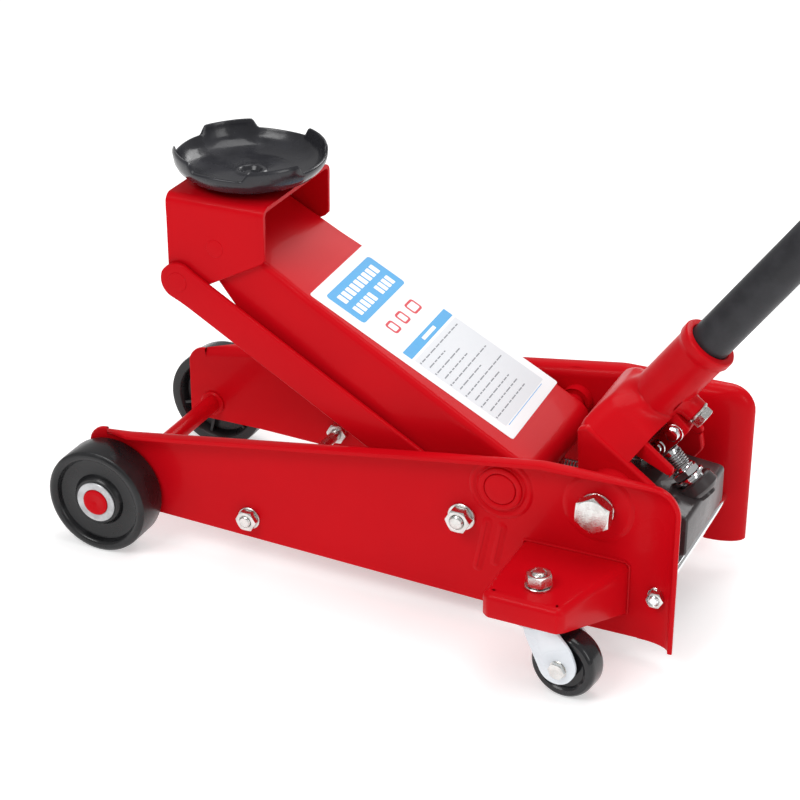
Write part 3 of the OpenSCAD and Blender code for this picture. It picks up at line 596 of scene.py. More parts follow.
def side_plate():
    """The left plate: a flat web with pressed seats, a flange along its top and a flare at its rear."""
    b = Build()
    outer = open_path(TOP_OUTER, cuts=12)
    inner = open_path(TOP_INNER, cuts=12)
    run = np.concatenate([[0], np.cumsum(np.linalg.norm(np.diff(outer, axis=0), axis=1))])
    rows = []
    for p, q, s in zip(outer, inner, run):
        width = float(np.linalg.norm(q - p))
        w = max(0.0, min(1.0, (width - 12.2) / 20))
        a, r = width - PLATE_T - 3, 5 + 6 * w
        taper = min(1.0, s / 30)
        taper = taper * taper * (3 - 2 * taper)
        flat = FLANGE - 0.6 * w
        centre = a + PLATE_T
        quarter = [math.pi / 2 * k / 8 for k in range(9)]
        prof = [(width, 0.0), (width - 1.5, 0.0)]
        prof += [(centre - a * math.sin(t), (r - r * math.cos(t))) for t in quarter]
        prof += [(PLATE_T, flat - 0.8), (PLATE_T - 0.3, flat - 0.2), (PLATE_T - 0.9, flat), (0.9, flat),
                 (0.3, flat - 0.2), (0.0, flat - 0.8)]
        prof += [(centre - centre * math.sin(t), r - (r + PLATE_T) * math.cos(t)) for t in quarter[::-1]]
        prof += [(width - 1.5, -PLATE_T), (width, -PLATE_T)]
        rows.append([(*(p + (q - p) * (d / width)), -PLATE_OUT - (y * taper if y > 0 else y))
                     for d, y in prof])
    rows = np.array(rows)[:, :, [0, 2, 1]]
    b.grid(rows)
    b.add(rows[-1], [tuple(range(rows.shape[1]))])
    # the rim along the front and the bottom
    edge = rounded([[-24, 102, 16], [-24, 30.5, 6], [46, 30.5, 40], [350, 19.5, 40], [518, 19.5, 0],
                    [485, 19.5, 0], [402, 150, 0], [-6.6, 103, 0]])
    loop_r = np.array([p for p in edge if not (p[0] > 484.9 or (p[0] > 380 and p[1] > 140) or
                                               (p[0] > -6.7 and p[1] > 102))])
    path = np.concatenate([[[-6.6, 103.0]], loop_r, [[485.0, 19.5]]])
    tangent = np.gradient(path, axis=0)
    tangent /= np.linalg.norm(tangent, axis=1)[:, None]
    normal = np.stack([-tangent[:, 1], tangent[:, 0]], 1)
    rim = [(1.6, 0), (0.8, 0), (0.25, -0.25), (0, -0.8), (0, -PLATE_T + 0.8), (0.25, -PLATE_T + 0.25),
           (0.8, -PLATE_T), (1.6, -PLATE_T)]
    rows = [[(*(p + n * d), -PLATE_OUT - y) for d, y in rim] for p, n in zip(path, normal)]
    b.grid(np.array(rows)[:, :, [0, 2, 1]])
    border = np.concatenate([path + normal * 1.6, inner[::-1]])
    # the web, outside and inside, with the pressed seats and ribs laid over it
    for level in (0.0, -PLATE_T):
        holes = [ring(x, z, hole, 32) for x, z, hole in PLAIN_HOLES]
        b.fill([border] + holes, lambda p, y=-PLATE_OUT - level: (p[0], y, p[1]))
        for x, z, hole, rings in SEATS if level == 0 else ():
            rows = [[(x + r * c, -PLATE_OUT - level - h, z + r * s) for c, s in ring(0, 0, 1, 72)]
                    for r, h in rings + [(hole, rings[-1][1])]]
            b.grid(rows, close_u=True)
        for x0, z0, x1, z1, w in RIBS if level == 0 else ():
            ends = np.array([[x0, z0], [x1, z1]], float)
            lean = math.atan2(x0 - x1, z1 - z0)
            shape = [(w + 3, -0.2), (w + 1.8, 0.2), (w + 0.6, 0.8), (w * 0.5, 1.25), (0.1, 1.4)]
            rows = []
            for r, h in shape:
                caps = [ends[k] + r * np.array([math.cos(a), math.sin(a)]) for k in (0, 1)
                        for a in lean + math.pi * (1 - k) + np.linspace(0, math.pi, 11)]
                rows.append([(q[0], -PLATE_OUT - level - h, q[1]) for q in caps])
            b.grid(rows, close_u=True)
    for x, z, hole in PLAIN_HOLES:
        wall = [[(p[0], -PLATE_OUT + e, p[1]) for p in ring(x, z, hole, 32)] for e in (0, PLATE_T)]
        b.grid(wall, close_u=True)
    return b


pair("plate_*_skin", side_plate(), RED, "frame", "side_plate_*", sharp=28)


# ---------------------------------------------------------------- bolts through the plates
# arm pivot: a stepped shaft end inside a raised ring
at_pivot = left_side(ARM_PIVOT, -PLATE_OUT)
shaft = stack(at_pivot, lathe([(0.01, 3.5), (11.6, 3.5), (12.9, 3.1), (13.5, 2.2), (13.5, -14)], 64),
              lathe([(13.55, 1.6), (14.2, 2.9), (15.6, 3.5), (17.2, 3.5), (18.6, 2.9), (19, 1.6),
                     (19, 1.2)], 64))
piece("pivot_shaft_ends", shaft, RED, "frame", both=True)
shaft = stack(left_side(ARM_PIVOT, 0), lathe([(9, -PLATE_IN), (9, PLATE_IN)], 48),
              *(lathe([(9, s * (PLATE_IN - 8)), (13.5, s * (PLATE_IN - 8)), (13.5, s * PLATE_IN)], 48)
                for s in (1, -1)))
piece("pivot_shaft_middle", shaft, RED, "frame", "arm_pivot_shaft")

# front axle, its red ends and the washers that hold the wheels
axle = stack(left_side(AXLE_POS, 0), lathe([(8, -PLATE_IN), (8, PLATE_IN)], 40),
             *(lathe([(8, s * (PLATE_IN - 3)), (10.4, s * (PLATE_IN - 3)), (11.8, s * (PLATE_IN - 2)),
                      (11.8, s * (PLATE_IN + 34))], 40) for s in (-1, 1)))
piece("axle_bar", axle, RED, "frame", "front_axle")
at_hub = left_side(AXLE_POS, -WHEEL_FACE)
axle_end = lathe([(11.8, -20), (11.8, 0.2), (11.4, 0.8), (10.2, 1.2), (8.0, 1.2), (7.4, 0.9), (2.6, 0.9),
                  (1.4, 0.2), (0.01, -0.1)], 56)
piece("axle_ends", stack(at_hub, axle_end), RED, "frame", both=True)
piece("axle_washers", stack(at_hub, washer(11.9, 18.5, -1.9, -0.4, 64)), WASHER, "frame",
      "wheel_washers", both=True)

# tie rod and rear cross rod
for name, pos, r, reach, node, metal in (("tie_bar", TIE_POS, 5, 11, "tie_rod", ZINC),
                                         ("cross_bar", CROSS_POS, 4, 10, "rear_cross_rod", CHROME)):
    bar = lathe([(r, -PLATE_OUT + 1), (r, PLATE_OUT - 1)], 40)
    for sign in (-1, 1):
        bar.join(thread(r, 0, reach, 1.25),
                 lambda p, s=sign: np.array([p[0], p[1], s * (p[2] + PLATE_OUT - 1)]))
    piece(name, stack(left_side(pos, 0), bar), metal, "frame", node)
nuts = stack(left_side(TIE_POS, -PLATE_OUT), hex_body(17, 2.0, 8.2, 5.05), washer(5.1, 10.2, 0.05, 1.9))
nuts.join(hex_body(17, -8.2, -0.1, 5.05), left_side(TIE_POS, -PLATE_IN))
nuts.join(stack(left_side(CROSS_POS, -PLATE_OUT), hex_body(13, 1.2, 8, 4.05), washer(4.05, 8, 0.05, 1.2)))
piece("rod_nuts", nuts, ZINC, "frame", "frame_rod_nuts", both=True)

# rear pivots of the radius rods
at_rod = left_side(ROD_PIVOT, -PLATE_OUT)
bolt = stack(at_rod, thread(6, 2, 13.4, 1.75), dome(5.2, 13.4, 0.7), lathe([(6, -19.6), (6, 3)], 40),
             lathe([(6, -19.7), (9.0, -19.7), (9.5, -20.2), (9.5, -21.6), (9.0, -22.1), (0.01, -22.1)], 40))
piece("rod_bolts", bolt, ZINC, "frame", "rod_pivot_bolts", both=True)
nut = stack(at_rod, hex_body(19, 2.6, 11.6, 6.05), washer(6.1, 12.0, 0.05, 2.4))
piece("rod_nuts_rear", nut, ZINC, "frame", "rod_pivot_nuts", both=True)
piece("rod_spacers", stack(at_rod, washer(6.05, 10, -14.6, -4.05)), STEEL, "frame",
      "rod_pivot_spacers", both=True)

# the handle socket's pivot bolts: a big hexagon on a spring washer
head = stack(left_side(SOCKET_PIVOT, -PLATE_OUT), hex_body(28, 5.6, 16.5, spin=math.radians(28)),
             washer(8.1, 14.4, 4.9, 5.6), split_washer(8.2, 14.5, 2.3, 4.9),
             lathe([(8, 5.6), (8, -22.6), (7.2, -23.4), (0.01, -23.4)], 40))
piece("socket_bolts", head, ZINC, "frame", "socket_pivot_bolts", both=True)


# ---------------------------------------------------------------- front wheels
WHEEL_WIDE = 33.5
# radii and how far each point lies under the outer face
FACE_SECTION = [(48, 4.4), (47.5, 2.0), (45.8, 0.5), (43.5, 0), (41.2, 0.4), (39.9, 1.4), (39.2, 3.2),
                (37.8, 6.2), (35.8, 7.0), (26.2, 7.4), (24.0, 6.8), (22.8, 5.0), (21.8, 3.0), (20.6, 2.0),
                (19.2, 1.95), (11.86, 1.95)]
BACK_SECTION = [(11.86, 3), (19, 3), (21.5, 4.5), (22.5, 9.5), (35, 9.5), (37.5, 2.5), (39.5, 0.4),
                (45.4, 0.3), (47.4, 1.0), (48, 3.2)]
wheel = lathe(BACK_SECTION + [(r, WHEEL_WIDE - d) for r, d in FACE_SECTION] + BACK_SECTION[:1], 112)
web_line = rounded([[22.4, -1.6, 0.6], [38.2, -1.3, 0.6], [38.2, 1.3, 0.6], [22.4, 1.6, 0.6]], 3)
web = solid(web_line, [], 3, 9.6, 0.3)
for k in range(6):
    c, s = math.cos(k * math.pi / 3 + 0.3), math.sin(k * math.pi / 3 + 0.3)
    wheel.join(web, lambda p, c=c, s=s: np.array([p[0] * c - p[1] * s, p[0] * s + p[1] * c, p[2]]))
wheel.map(left_side(AXLE_POS, WHEEL_WIDE - WHEEL_FACE))
pair("front_wheel_*_rim", wheel, WHEEL, "front_wheel_*", "front_wheel_*")


# ---------------------------------------------------------------- casters
BRACKET_TOP = 87.0
CASTER_R = 28.0
CROWN_Z = 60.0
BRACKET_REAR = 475.0
SKIRT = 66.0
b = Build()
plan = [[384, -PLATE_OUT - 0.4, 0], [384, -175, 6], [390, -180, 6], [448, -181, 5], [453, -177, 9],
        [BRACKET_REAR, -PLATE_OUT - 0.4, 0]]
plan = open_path([[p[0], p[1], max(p[2], 0.01)] for p in plan], steps=6, cuts=4)
tang = np.gradient(plan, axis=0)
tang /= np.linalg.norm(tang, axis=1)[:, None]
norm_in = np.stack([-tang[:, 1], tang[:, 0]], 1)
TOP_R = 6.0


def skirt_bottom(x, y):
    """The rear wall grows deeper towards the plate; the rest ends level."""
    if x > 452.5:
        return 40.5 + (SKIRT - 40.5) * min(1.0, max(0.0, (-y - 90.5) / 86.5))
    return SKIRT


rows = []
for p, n in zip(plan, norm_in):
    low = skirt_bottom(*p)
    prof = [(TOP_R + 3, BRACKET_TOP)]
    prof += [(TOP_R - TOP_R * math.sin(t), BRACKET_TOP - TOP_R + TOP_R * math.cos(t))
             for t in np.linspace(0, math.pi / 2, 9)]
    prof += [(0, low + 0.8), (0.3, low + 0.2), (0.9, low), (3.0, low), (3.6, low + 0.2), (3.9, low + 0.8)]
    prof += [(3.9 + 3.5 - 3.5 * math.cos(t), BRACKET_TOP - 7.5 + 3.5 * math.sin(t))
             for t in np.linspace(0, math.pi / 2, 7)]
    prof += [(TOP_R + 3, BRACKET_TOP - 4)]
    rows.append([(*(p + n * d), z) for d, z in prof])
rows = np.array(rows)
b.grid(rows)
hole = ring(STEM_POS[0], STEM_POS[1], 6.3, 40)
for z in (BRACKET_TOP, BRACKET_TOP - 4):
    col = 0 if z == BRACKET_TOP else -1
    b.fill([rows[:, col, :2], hole], lambda p, z=z: (p[0], p[1], z))
b.grid(np.array([[(*p, z) for p in hole] for z in (BRACKET_TOP, BRACKET_TOP - 4)]), close_u=True)
pair("caster_plate_*", b, RED, "frame", "caster_bracket_*")
# the weld where the bracket meets the plate
seam = [np.array([x, -90.6, z]) for x, z in ((384.5, 66), (384.5, 86), (386, 87.6), (400, 87.8), (430, 87.8),
                                             (472, 87.8), (475.4, 85), (475.6, 60), (475.6, 41))]
pts = []
for p, q in zip(seam[:-1], seam[1:]):
    k = max(2, int(np.linalg.norm(q - p) / 1.5))
    pts += [p + (q - p) * i / k for i in range(k)]
weld = tube(pts + seam[-1:], 1.1)
weld.map(lambda p: p + np.array([0, 0.25 * math.sin(p[0] * 1.7 + p[2] * 1.7), 0]))
piece("caster_weld", weld, RED_CAST, "frame", both=True)

stem_at = aim((STEM_POS[0], STEM_POS[1], 0), (0, 0, 1))
nut = stack(stem_at, hex_body(19, 89.6, 99.0, 6.05), washer(6.1, 11.2, 87.05, 89.2))
piece("stem_nuts", nut, ZINC, "frame", "caster_nuts", both=True)
stem = stack(stem_at, thread(6, 87, 100.2, 1.75), dome(5.0, 100.1, 0.8), lathe([(6, 59.6), (6, 87.5)], 40),
             lathe([(0.01, 54), (8.2, 54), (9, 54.8), (9, 59), (8.4, 59.6), (6, 59.6)], 40))
piece("stems", stem, ZINC, "frame", "caster_stems", both=True)
race = lathe([(6.1, 64.5), (16.4, 64.5), (17.6, 65.6), (18.6, 67.4), (21.4, 68.4), (22, 69.4), (22, 72.6),
              (21.2, 73.6), (14, 75.4), (12.5, 77), (12, 82.6), (6.1, 82.6)], 56)
piece("swivel_race", stack(stem_at, race), WASHER, "frame", "caster_bearings", both=True)

FORK_IN, FORK_T, LOBE = 12.5, 3.0, 17.0
cheek_line = rounded([[-7, CROWN_Z + 4.3, 4], [21, CROWN_Z + 4.3, 6], [38, 48, 30],
                      [CASTER_TRAIL + LOBE, CASTER_R + 2, 16.6],
                      [CASTER_TRAIL + 4, CASTER_R - LOBE - 0.4, 16.6],
                      [CASTER_TRAIL - 14, CASTER_R - 11.5, 14], [-3, 50, 30]], 10)
fork = Build()
for sign in (-1, 1):
    cheek = solid(cheek_line, [ring(CASTER_TRAIL, CASTER_R, 4.1, 32)], FORK_IN, FORK_IN + FORK_T, 0.7)
    fork.join(cheek, lambda p, s=sign: on_caster((p[0], s * p[2], p[1])))
crown_line = rounded([[-21, -14, 14], [-6, -22, 16], [12, -20, 10], [22, -15.6, 3], [22, 15.6, 3],
                      [12, 20, 10], [-6, 22, 16], [-21, 14, 14]], 6)
fork.join(solid(crown_line, [ring(0, 0, 6.2, 32)], CROWN_Z, CROWN_Z + 4, 0.8), on_caster)
cup = lathe([(10, 63.9), (16.6, 63.9), (19.5, 63.6), (21.6, 62.2), (22, 60.4), (21.2, 59.8), (10, 59.9)], 48)
fork.join(cup, on_caster)
pair("caster_yoke_*", fork, WHITE, "caster_*", "caster_fork_*")


def at_wheel(p, side=1):
    """Local z runs along the caster wheel's axle."""
    return on_caster((CASTER_TRAIL + p[0], side * p[2], CASTER_R + p[1]))


spindle = Build()
cap = FORK_IN + FORK_T
for sign in (-1, 1):
    for part in (hex_body(13, cap + 0.4, cap + 4.2), washer(4.1, 7.6, cap, cap + 0.5)):
        spindle.join(part, lambda p, s=sign: at_wheel(p, s))
spindle.join(lathe([(4, -19.6), (4, 19.6)], 32), at_wheel)
spindle.join(lathe([(4, 15), (4, 18.6), (3.4, 19.4), (0.01, 19.6)], 32), lambda p: at_wheel(p, -1))
pair("caster_spindle_*", spindle, ZINC, "caster_*", "caster_axle_*")
half_tyre = [(4.06, 11), (8.6, 11), (9.4, 10.4), (10.2, 8.2), (18.6, 8.2), (20, 9.6), (21.4, 10.8), (24, 11),
             (25.6, 10.7), (27, 9.4), (27.8, 7.4), (CASTER_R, 5)]
tyre = lathe([(r, -h) for r, h in half_tyre] + half_tyre[::-1] + [(4.06, -11)], 96)
pair("caster_tread_*", tyre.map(at_wheel), CASTER_BLACK, "caster_wheel_*", "caster_wheel_*")


# ---------------------------------------------------------------- lift arm
def resample(path, count):
    path = np.asarray(path, float)
    run = np.concatenate([[0], np.cumsum(np.linalg.norm(np.diff(path, axis=0), axis=1))])
    at = np.linspace(0, run[-1], count)
    return np.stack([np.interp(at, run, path[:, i]) for i in range(2)], 1)


def channel(top, start, low, half, t, corner_r, place, scale=None):
    """A folded sheet: a top strip along the path top, corners of corner_r and two walls down to the path
    low. start is the path where the walls begin. All three have as many points."""
    b = Build()
    rows = []
    for p, q, l in zip(top, start, low):
        wide = float(np.linalg.norm(q - p))
        sec = []
        drop = unit(l - q) if np.linalg.norm(l - q) > 1e-6 else unit(q - p)
        for d, y in ((0.0, t - 0.7), (0.0, 0.7), (0.7, 0.0), (2.0, 0.0)):
            sec.append((l - drop * d, -half + y))
        for k in range(9):
            a = math.pi / 2 * k / 8
            sec.append((p + (q - p) * ((corner_r - corner_r * math.sin(a)) / wide if k else 1.0),
                        -(half - corner_r) - corner_r * math.cos(a)))
        outer = sec[1:] + [(pt, -y) for pt, y in reversed(sec[1:])]
        ri = max(corner_r - t, 0.6)
        inner = [(p + (q - p) * ((t + ri - ri * math.sin(a)) / wide), -(half - t - ri) - ri * math.cos(a))
                 for a in (math.pi / 2 * k / 8 for k in range(9))]
        inner = [(l - drop * 0.7, -half + t), (l - drop * 2.0, -half + t)] + inner
        inner = inner + [(pt, -y) for pt, y in reversed(inner)]
        loop = [sec[0]] + outer + [(sec[0][0], -sec[0][1])] + inner[::-1]
        rows.append([(pt[0], y * (scale(pt[0]) if scale else 1.0), pt[1]) for pt, y in loop])
    rows = np.array(rows)
    b.grid(rows, close_u=True)
    n = rows.shape[1]
    h = n // 2
    for row in (rows[0], rows[-1]):
        b.add(row, [(i, i + 1, n - 2 - i, n - 1 - i) for i in range(h - 1)])
    return b.map(place)


ARM_WIDTHS = [[-30, 66.7], [10, 66.7], [225, 59.7], [248, 57.2], [332, 53.8]]


def arm_scale(s):
    return float(np.interp(s, [w[0] for w in ARM_WIDTHS], [w[1] for w in ARM_WIDTHS])) / 66.7


top = open_path([[-22, -14, 0], [-22, 14, 18], [324, 14, 0]], steps=12, cuts=26)
start = open_path([[-13, -14, 0], [-13, 5, 9], [324, 5, 0]], steps=12, cuts=26)
low = resample(open_path([[-22, -13.9, 0], [-22, -30, 12], [-8, -52, 14], [40, -62, 20], [250, -46, 20],
                          [306, -24, 10], [324, -16, 6], [324, 4, 0]], steps=8, cuts=4), len(top))
arm = channel(top, start, low, 66.7, 4.0, 6.0, on_arm, arm_scale)
piece("arm_channel", arm, RED, "lift_arm", "lift_arm", sharp=40)
# the tube that turns on the pivot shaft
sleeve = stack(left_side(ARM_PIVOT, 0), lathe([(9.06, -62.5), (12.4, -62.5), (13.2, -61.7), (13.2, 61.7),
                                               (12.4, 62.5), (9.06, 62.5)], 48))
piece("pivot_tube", sleeve, RED, "lift_arm", "arm_pivot_tube")
CRANK_R = 52.0
LEAN = math.radians(2.2)
CRANK_POS = (ARM_PIVOT[0] - CRANK_R * math.sin(LEAN), ARM_PIVOT[1] - CRANK_R * math.cos(LEAN))
pin_s = -CRANK_R * math.sin(ARM_ANGLE - LEAN)
pin_n = -CRANK_R * math.cos(ARM_ANGLE - LEAN)
ear_line = rounded([[-16, 9.8, 8], [pin_s - 11, pin_n - 15, 12], [pin_s + 15, pin_n - 11, 12], [16, 9.8, 8]])
ears = solid(ear_line, [], 20, 26, 0.8).map(lambda p: on_arm((p[0], -p[2], p[1])))
piece("crank_cheeks", ears, RED, "lift_arm", "crank_ears", both=True)
pin = lathe([(0.01, -29), (7.2, -29), (8, -28.2), (8, 28.2), (7.2, 29), (0.01, 29)], 40)
piece("crank_bar", stack(left_side(CRANK_POS, 0), pin), STEEL, "lift_arm", "crank_pin")
pin = lathe([(8, 0), (8, 61.3), (7.6, 61.8), (6.4, 62.0), (0.01, 62.1)], 40)
piece("bracket_bar", stack(left_side(BRACKET_PIVOT, 0), pin), RED, "lift_arm", "bracket_pin",
      both=True)

# ---------------------------------------------------------------- label
LABEL_LEN, LABEL_WIDE = 206.0, 111.0


def on_label(u, v, lift=0.0):
    """u runs from the saddle's end towards the pivot and v from the left edge to the right one."""
    a = math.radians(-2)
    x, y = LABEL_LEN / 2 - u, v - LABEL_WIDE / 2
    return on_arm((122 + x * math.cos(a) - y * math.sin(a), 6.3 + x * math.sin(a) + y * math.cos(a),
                   14.05 + lift))


def patch(u0, u1, v0, v1, r, low_h, high_h):
    loop = rounded([[u0, v0, r], [u1, v0, r], [u1, v1, r], [u0, v1, r]], 4)
    return solid(loop, [], low_h, high_h, 0.04, 1).map(lambda p: on_label(*p))


sheet = patch(0, LABEL_LEN, 0, LABEL_WIDE, 2.5, 0, 0.24)
piece("label_sheet", sheet, PAPER, "lift_arm", "arm_label")
blue = patch(10.5, 50, 11.5, 100, 3.5, 0.2, 0.3)
blue.join(patch(90, 99.5, 9.5, 101, 0.8, 0.2, 0.3))
blue.join(patch(195.6, 196.2, 14, 94, 0.2, 0.2, 0.3))
piece("label_blue_blocks", blue, INK_BLUE, "lift_arm")
white = Build()
for u, counts in ((17.5, (9,)), (33.5, (5, 4))):
    step = 74.0 / (sum(counts) + len(counts) - 1)
    v = 19.5
    for count in counts:
        for _ in range(count):
            white.join(patch(u, u + 10.0, v, v + step * 0.76, 0.9, 0.28, 0.36))
            v += step
        v += step
white.join(patch(93, 96.5, 44, 70, 0.6, 0.28, 0.36))
piece("label_white_bars", white, PAPER, "lift_arm")
red_marks = Build()
for v0, v1 in ((27, 39), (47, 59), (68, 84)):
    outer = rounded([[63, v0, 3], [76, v0, 3], [76, v1, 3], [63, v1, 3]], 5)
    w0, w1 = v0 + 2.2, v1 - 2.2
    hole = rounded([[65.2, w0, 1.4], [73.8, w0, 1.4], [73.8, w1, 1.4], [65.2, w1, 1.4]], 5)
    red_marks.join(solid(outer, [hole], 0.2, 0.3, 0.03, 1), lambda p: on_label(*p))
piece("label_red_marks", red_marks, INK_RED, "lift_arm")
piece("label_pale_panel", patch(102, 194.5, 10, 101, 1.0, 0.2, 0.28), INK_PALE, "lift_arm")
random.seed(11)
lines = Build()
for i, end in enumerate((92, 47, 63, 66, 90, 61, 92, 72, 74, 78, 80)):
    u = 107 + i * 7.7
    v = 15.0
    while v < end:
        word = random.uniform(4, 11)
        lines.join(patch(u, u + 1.15, v, min(v + word, end + 2), 0.3, 0.26, 0.33))
        v += word + 1.6
    if i % 2 == 0:
        lines.join(patch(u - 0.5, u + 1.3, 11.6, 13.4, 0.5, 0.26, 0.33))
piece("label_fine_lines", lines, INK_GREY, "lift_arm")

# ---------------------------------------------------------------- saddle bracket and radius rods
top = open_path([[47, 320.5, 0], [138.5, 320.5, 0.0]], cuts=40)
start = top + np.array([0, -10.0])
low = resample(open_path([[47, 306, 0], [47, 230, 13], [66, 230, 12], [85.7, 245, 14], [138.5, 273.5, 5],
                          [138.5, 306, 0]], steps=8, cuts=6), len(top))
bracket = channel(top, start, low, 61.5, 3.5, 8.0, np.array)
piece("bracket_shell", bracket, RED, "saddle_bracket", "saddle_bracket", sharp=40)

pins = stack(left_side(ROD_FRONT, 0),
             lathe([(6, 56.5), (6, 67.3), (8.6, 67.6), (8.4, 67.9), (6.6, 68.1), (0.01, 68.2)], 40),
             lathe([(6, 56), (8.6, 56), (9, 56.4), (9, 57.9)], 40))
piece("rod_rivets", pins, RED, "saddle_bracket", "rod_front_pins", both=True)


def rod_half(s):
    """The bar's half height: straight, with round ends."""
    if s < 0:
        return math.sqrt(max(0.0, 16.0 ** 2 - s * s))
    if s > ARM_LEN:
        return math.sqrt(max(0.0, 16.5 ** 2 - (s - ARM_LEN) ** 2))
    return 15.5 + 0.5 * max(0.0, 1 - s / 12) + 1.0 * max(0.0, 1 - (ARM_LEN - s) / 12)


rod = Build()
stations = sorted(set([-16 * math.cos(k * math.pi / 24) for k in range(13)] + list(np.linspace(2, 308, 40)) +
                      [ARM_LEN + 16.5 * math.sin(k * math.pi / 24) for k in range(13)]))
rows = []
for s in stations:
    h = max(rod_half(s), 0.05)
    y0 = float(np.interp(s, [-20, 16, 290, 330], [75.2, 75.2, 67.5, 67.5]))
    e = min(1.7, h * 0.5)
    y1, h1 = y0 - e, h - e
    y2 = y0 - 5 + e
    sec = []
    for cy, cn, a0 in ((y1, h1, 0), (y2, h1, 90), (y2, -h1, 180), (y1, -h1, 270)):
        for a in (math.radians(a0 + 22.5 * k) for k in range(5)):
            sec.append((s, -(cy + e * math.cos(a)), cn + e * math.sin(a)))
    rows.append(sec)
rod.grid(rows, close_u=True)
for row in (rows[0], rows[-1]):
    rod.add(row, [tuple(range(len(row)))])
rod.map(on_rod)
pair("rod_bar_*", rod, RED, "radius_rod_*", "radius_rod_*", sharp=50)

# ---------------------------------------------------------------- saddle
LOBE_CENTRES = [46, 136, 226, 316]
LOBE_HALF = 22.0


def lobe(angle):
    """1 on a raised part of the rim and 0 between them."""
    deg = math.degrees(angle) % 360
    away = min(abs((deg - c + 180) % 360 - 180) for c in LOBE_CENTRES)
    k = max(0.0, min(1.0, (LOBE_HALF + 3.0 - away) / 6.0))
    return k * k * (3 - 2 * k)


dish = Build()
rows = []
for k in range(240):
    a = 2 * math.pi * k / 240
    w = lobe(a)
    wob = 0.35 * math.sin(3 * a + 1.0) + 0.25 * math.sin(7 * a)
    prof = [(0.01, 302), (10.5, 302), (12, 303.5), (12, 320.9), (32, 320.9), (46, 323.4), (56, 328.0),
            (61.4, 333.2), (64.0, 337.4 + w), (64.9 + 0.4 * w, 340.5 + 6.2 * w + wob),
            (64.6, 341.6 + 7.4 * w + wob), (63.8, 342.2 + 7.8 * w + wob), (62.7, 342.1 + 7.4 * w + wob),
            (61.9, 340.8 + 5.8 * w + wob), (60.6 + 0.8 * w, 337.4 + 2.0 * w), (57.6, 333.6), (53.6, 330.8),
            (47.5, 328.5), (41, 327.3), (38.5, 327.0), (15.2, 327.0), (14.0, 327.4), (12.9, 328.3),
            (11.6, 328.6), (10.0, 328.5), (9.0, 327.9), (8.2, 326.0), (7.2, 324.8), (0.01, 324.5)]
    rows.append([(SADDLE_X + r * math.cos(a), r * math.sin(a), z) for r, z in prof])
dish.grid(np.array(rows), close_v=True)
piece("saddle_dish", dish, SADDLE_BLACK, "saddle", "saddle", sharp=45)
clip = lathe([(12.05, 314.2), (18.6, 314.2), (19, 314.6), (19, 316.2), (18.6, 316.6), (12.05, 316.6)], 48)
clip.join(split_washer(10.6, 15.5, 311.3, 312.9))
piece("saddle_ring", clip.map(lambda p: p + (SADDLE_X, 0, 0)), ZINC, "saddle", "saddle_clip")


# ---------------------------------------------------------------- handle socket
SOCKET_R = 22.0
EAR_OUT, EAR_IN, BOSS_OUT = 60.0, 51.6, 84.5


def smooth(x, a, b):
    k = max(0.0, min(1.0, (x - a) / (b - a)))
    return k * k * (3 - 2 * k)


def u_section(half, front, back, r, n=14):
    """An open U from the left rear edge round the front to the right rear edge, as (m, y)."""
    pts = [(back + (front - r - back) * k / n, -half) for k in range(n)]
    pts += [(front - r + r * math.sin(a), -half + r - r * math.cos(a))
            for a in np.linspace(0, math.pi / 2, 9)]
    flat = [(front, -half + r + (half - r) * k / n) for k in range(1, n)]
    left = pts + flat
    return np.array(left + [(front, 0.0)] + [(m, -y) for m, y in reversed(left)])


def ring_section(r, count):
    """A circle from its rear point round the front, with as many points as a U section."""
    a = -math.pi + 2 * math.pi * np.arange(count) / (count - 1)
    return np.stack([r * np.cos(a), r * np.sin(a)], 1)


socket = Build()
CEILING = 46.0
LOW, SHOULDER, NECK = -8.0, 26.0, 66.0
stations = list(np.linspace(LOW, 26, 12)) + list(np.linspace(27.3, NECK, 30))
outer_rows, inner_rows = [], []
for t in stations:
    w = smooth(t, 46, NECK)
    half = EAR_OUT - 0.7 - 37.3 * min(1.0, max(0.0, (t - SHOULDER) / 35))
    front = min(31.0, 7.8 + (t + 7.9) * 0.816) if t < 30 else 31.0 - 8.0 * smooth(t, 30, 70)
    u = u_section(half, front, -18.0, 14.0)
    outer_rows.append(u * (1 - w) + ring_section(SOCKET_R, len(u)) * w)
    if t <= CEILING:
        ui = u_section(half - 7.2, front - 8, -16.5, 9.0)
        inner_rows.append(ui * (1 - w) + ring_section(SOCKET_R - 6, len(ui)) * w)


def to3(t, sec):
    """A section at station t, its lower edge arched up over the valve stub."""
    rise = 23.0 * (1 - min(1.0, (t - LOW) / 32))
    return [(t + rise * (1 - smooth(abs(y), 8, 15)), y, m) for m, y in sec]


outer3 = [to3(t, s) for t, s in zip(stations, outer_rows)]
inner3 = [to3(t, s) for t, s in zip(stations, inner_rows)]
socket.grid(outer3)
socket.grid(inner3)
for col in (0, -1):
    socket.grid([[o[col], i[col]] for o, i in zip(outer3, inner3)])
socket.grid([outer3[0], inner3[0]])
k = len(inner3) - 1
top_loop = inner3[k]
socket.add(top_loop, [tuple(range(len(top_loop)))])
rear = [[r[0], r[-1]] for r in outer3[k:]]
socket.grid([[np.array(a) + (np.array(b) - np.array(a)) * f for f in np.linspace(0, 1, 9)] for a, b in rear])
socket.add([inner3[k][0], inner3[k][-1], outer3[k][-1], outer3[k][0]], [(0, 1, 2, 3)])
socket.map(on_handle)
piece("socket_bell", socket, RED_CAST, "handle_socket", "handle_socket", sharp=38)

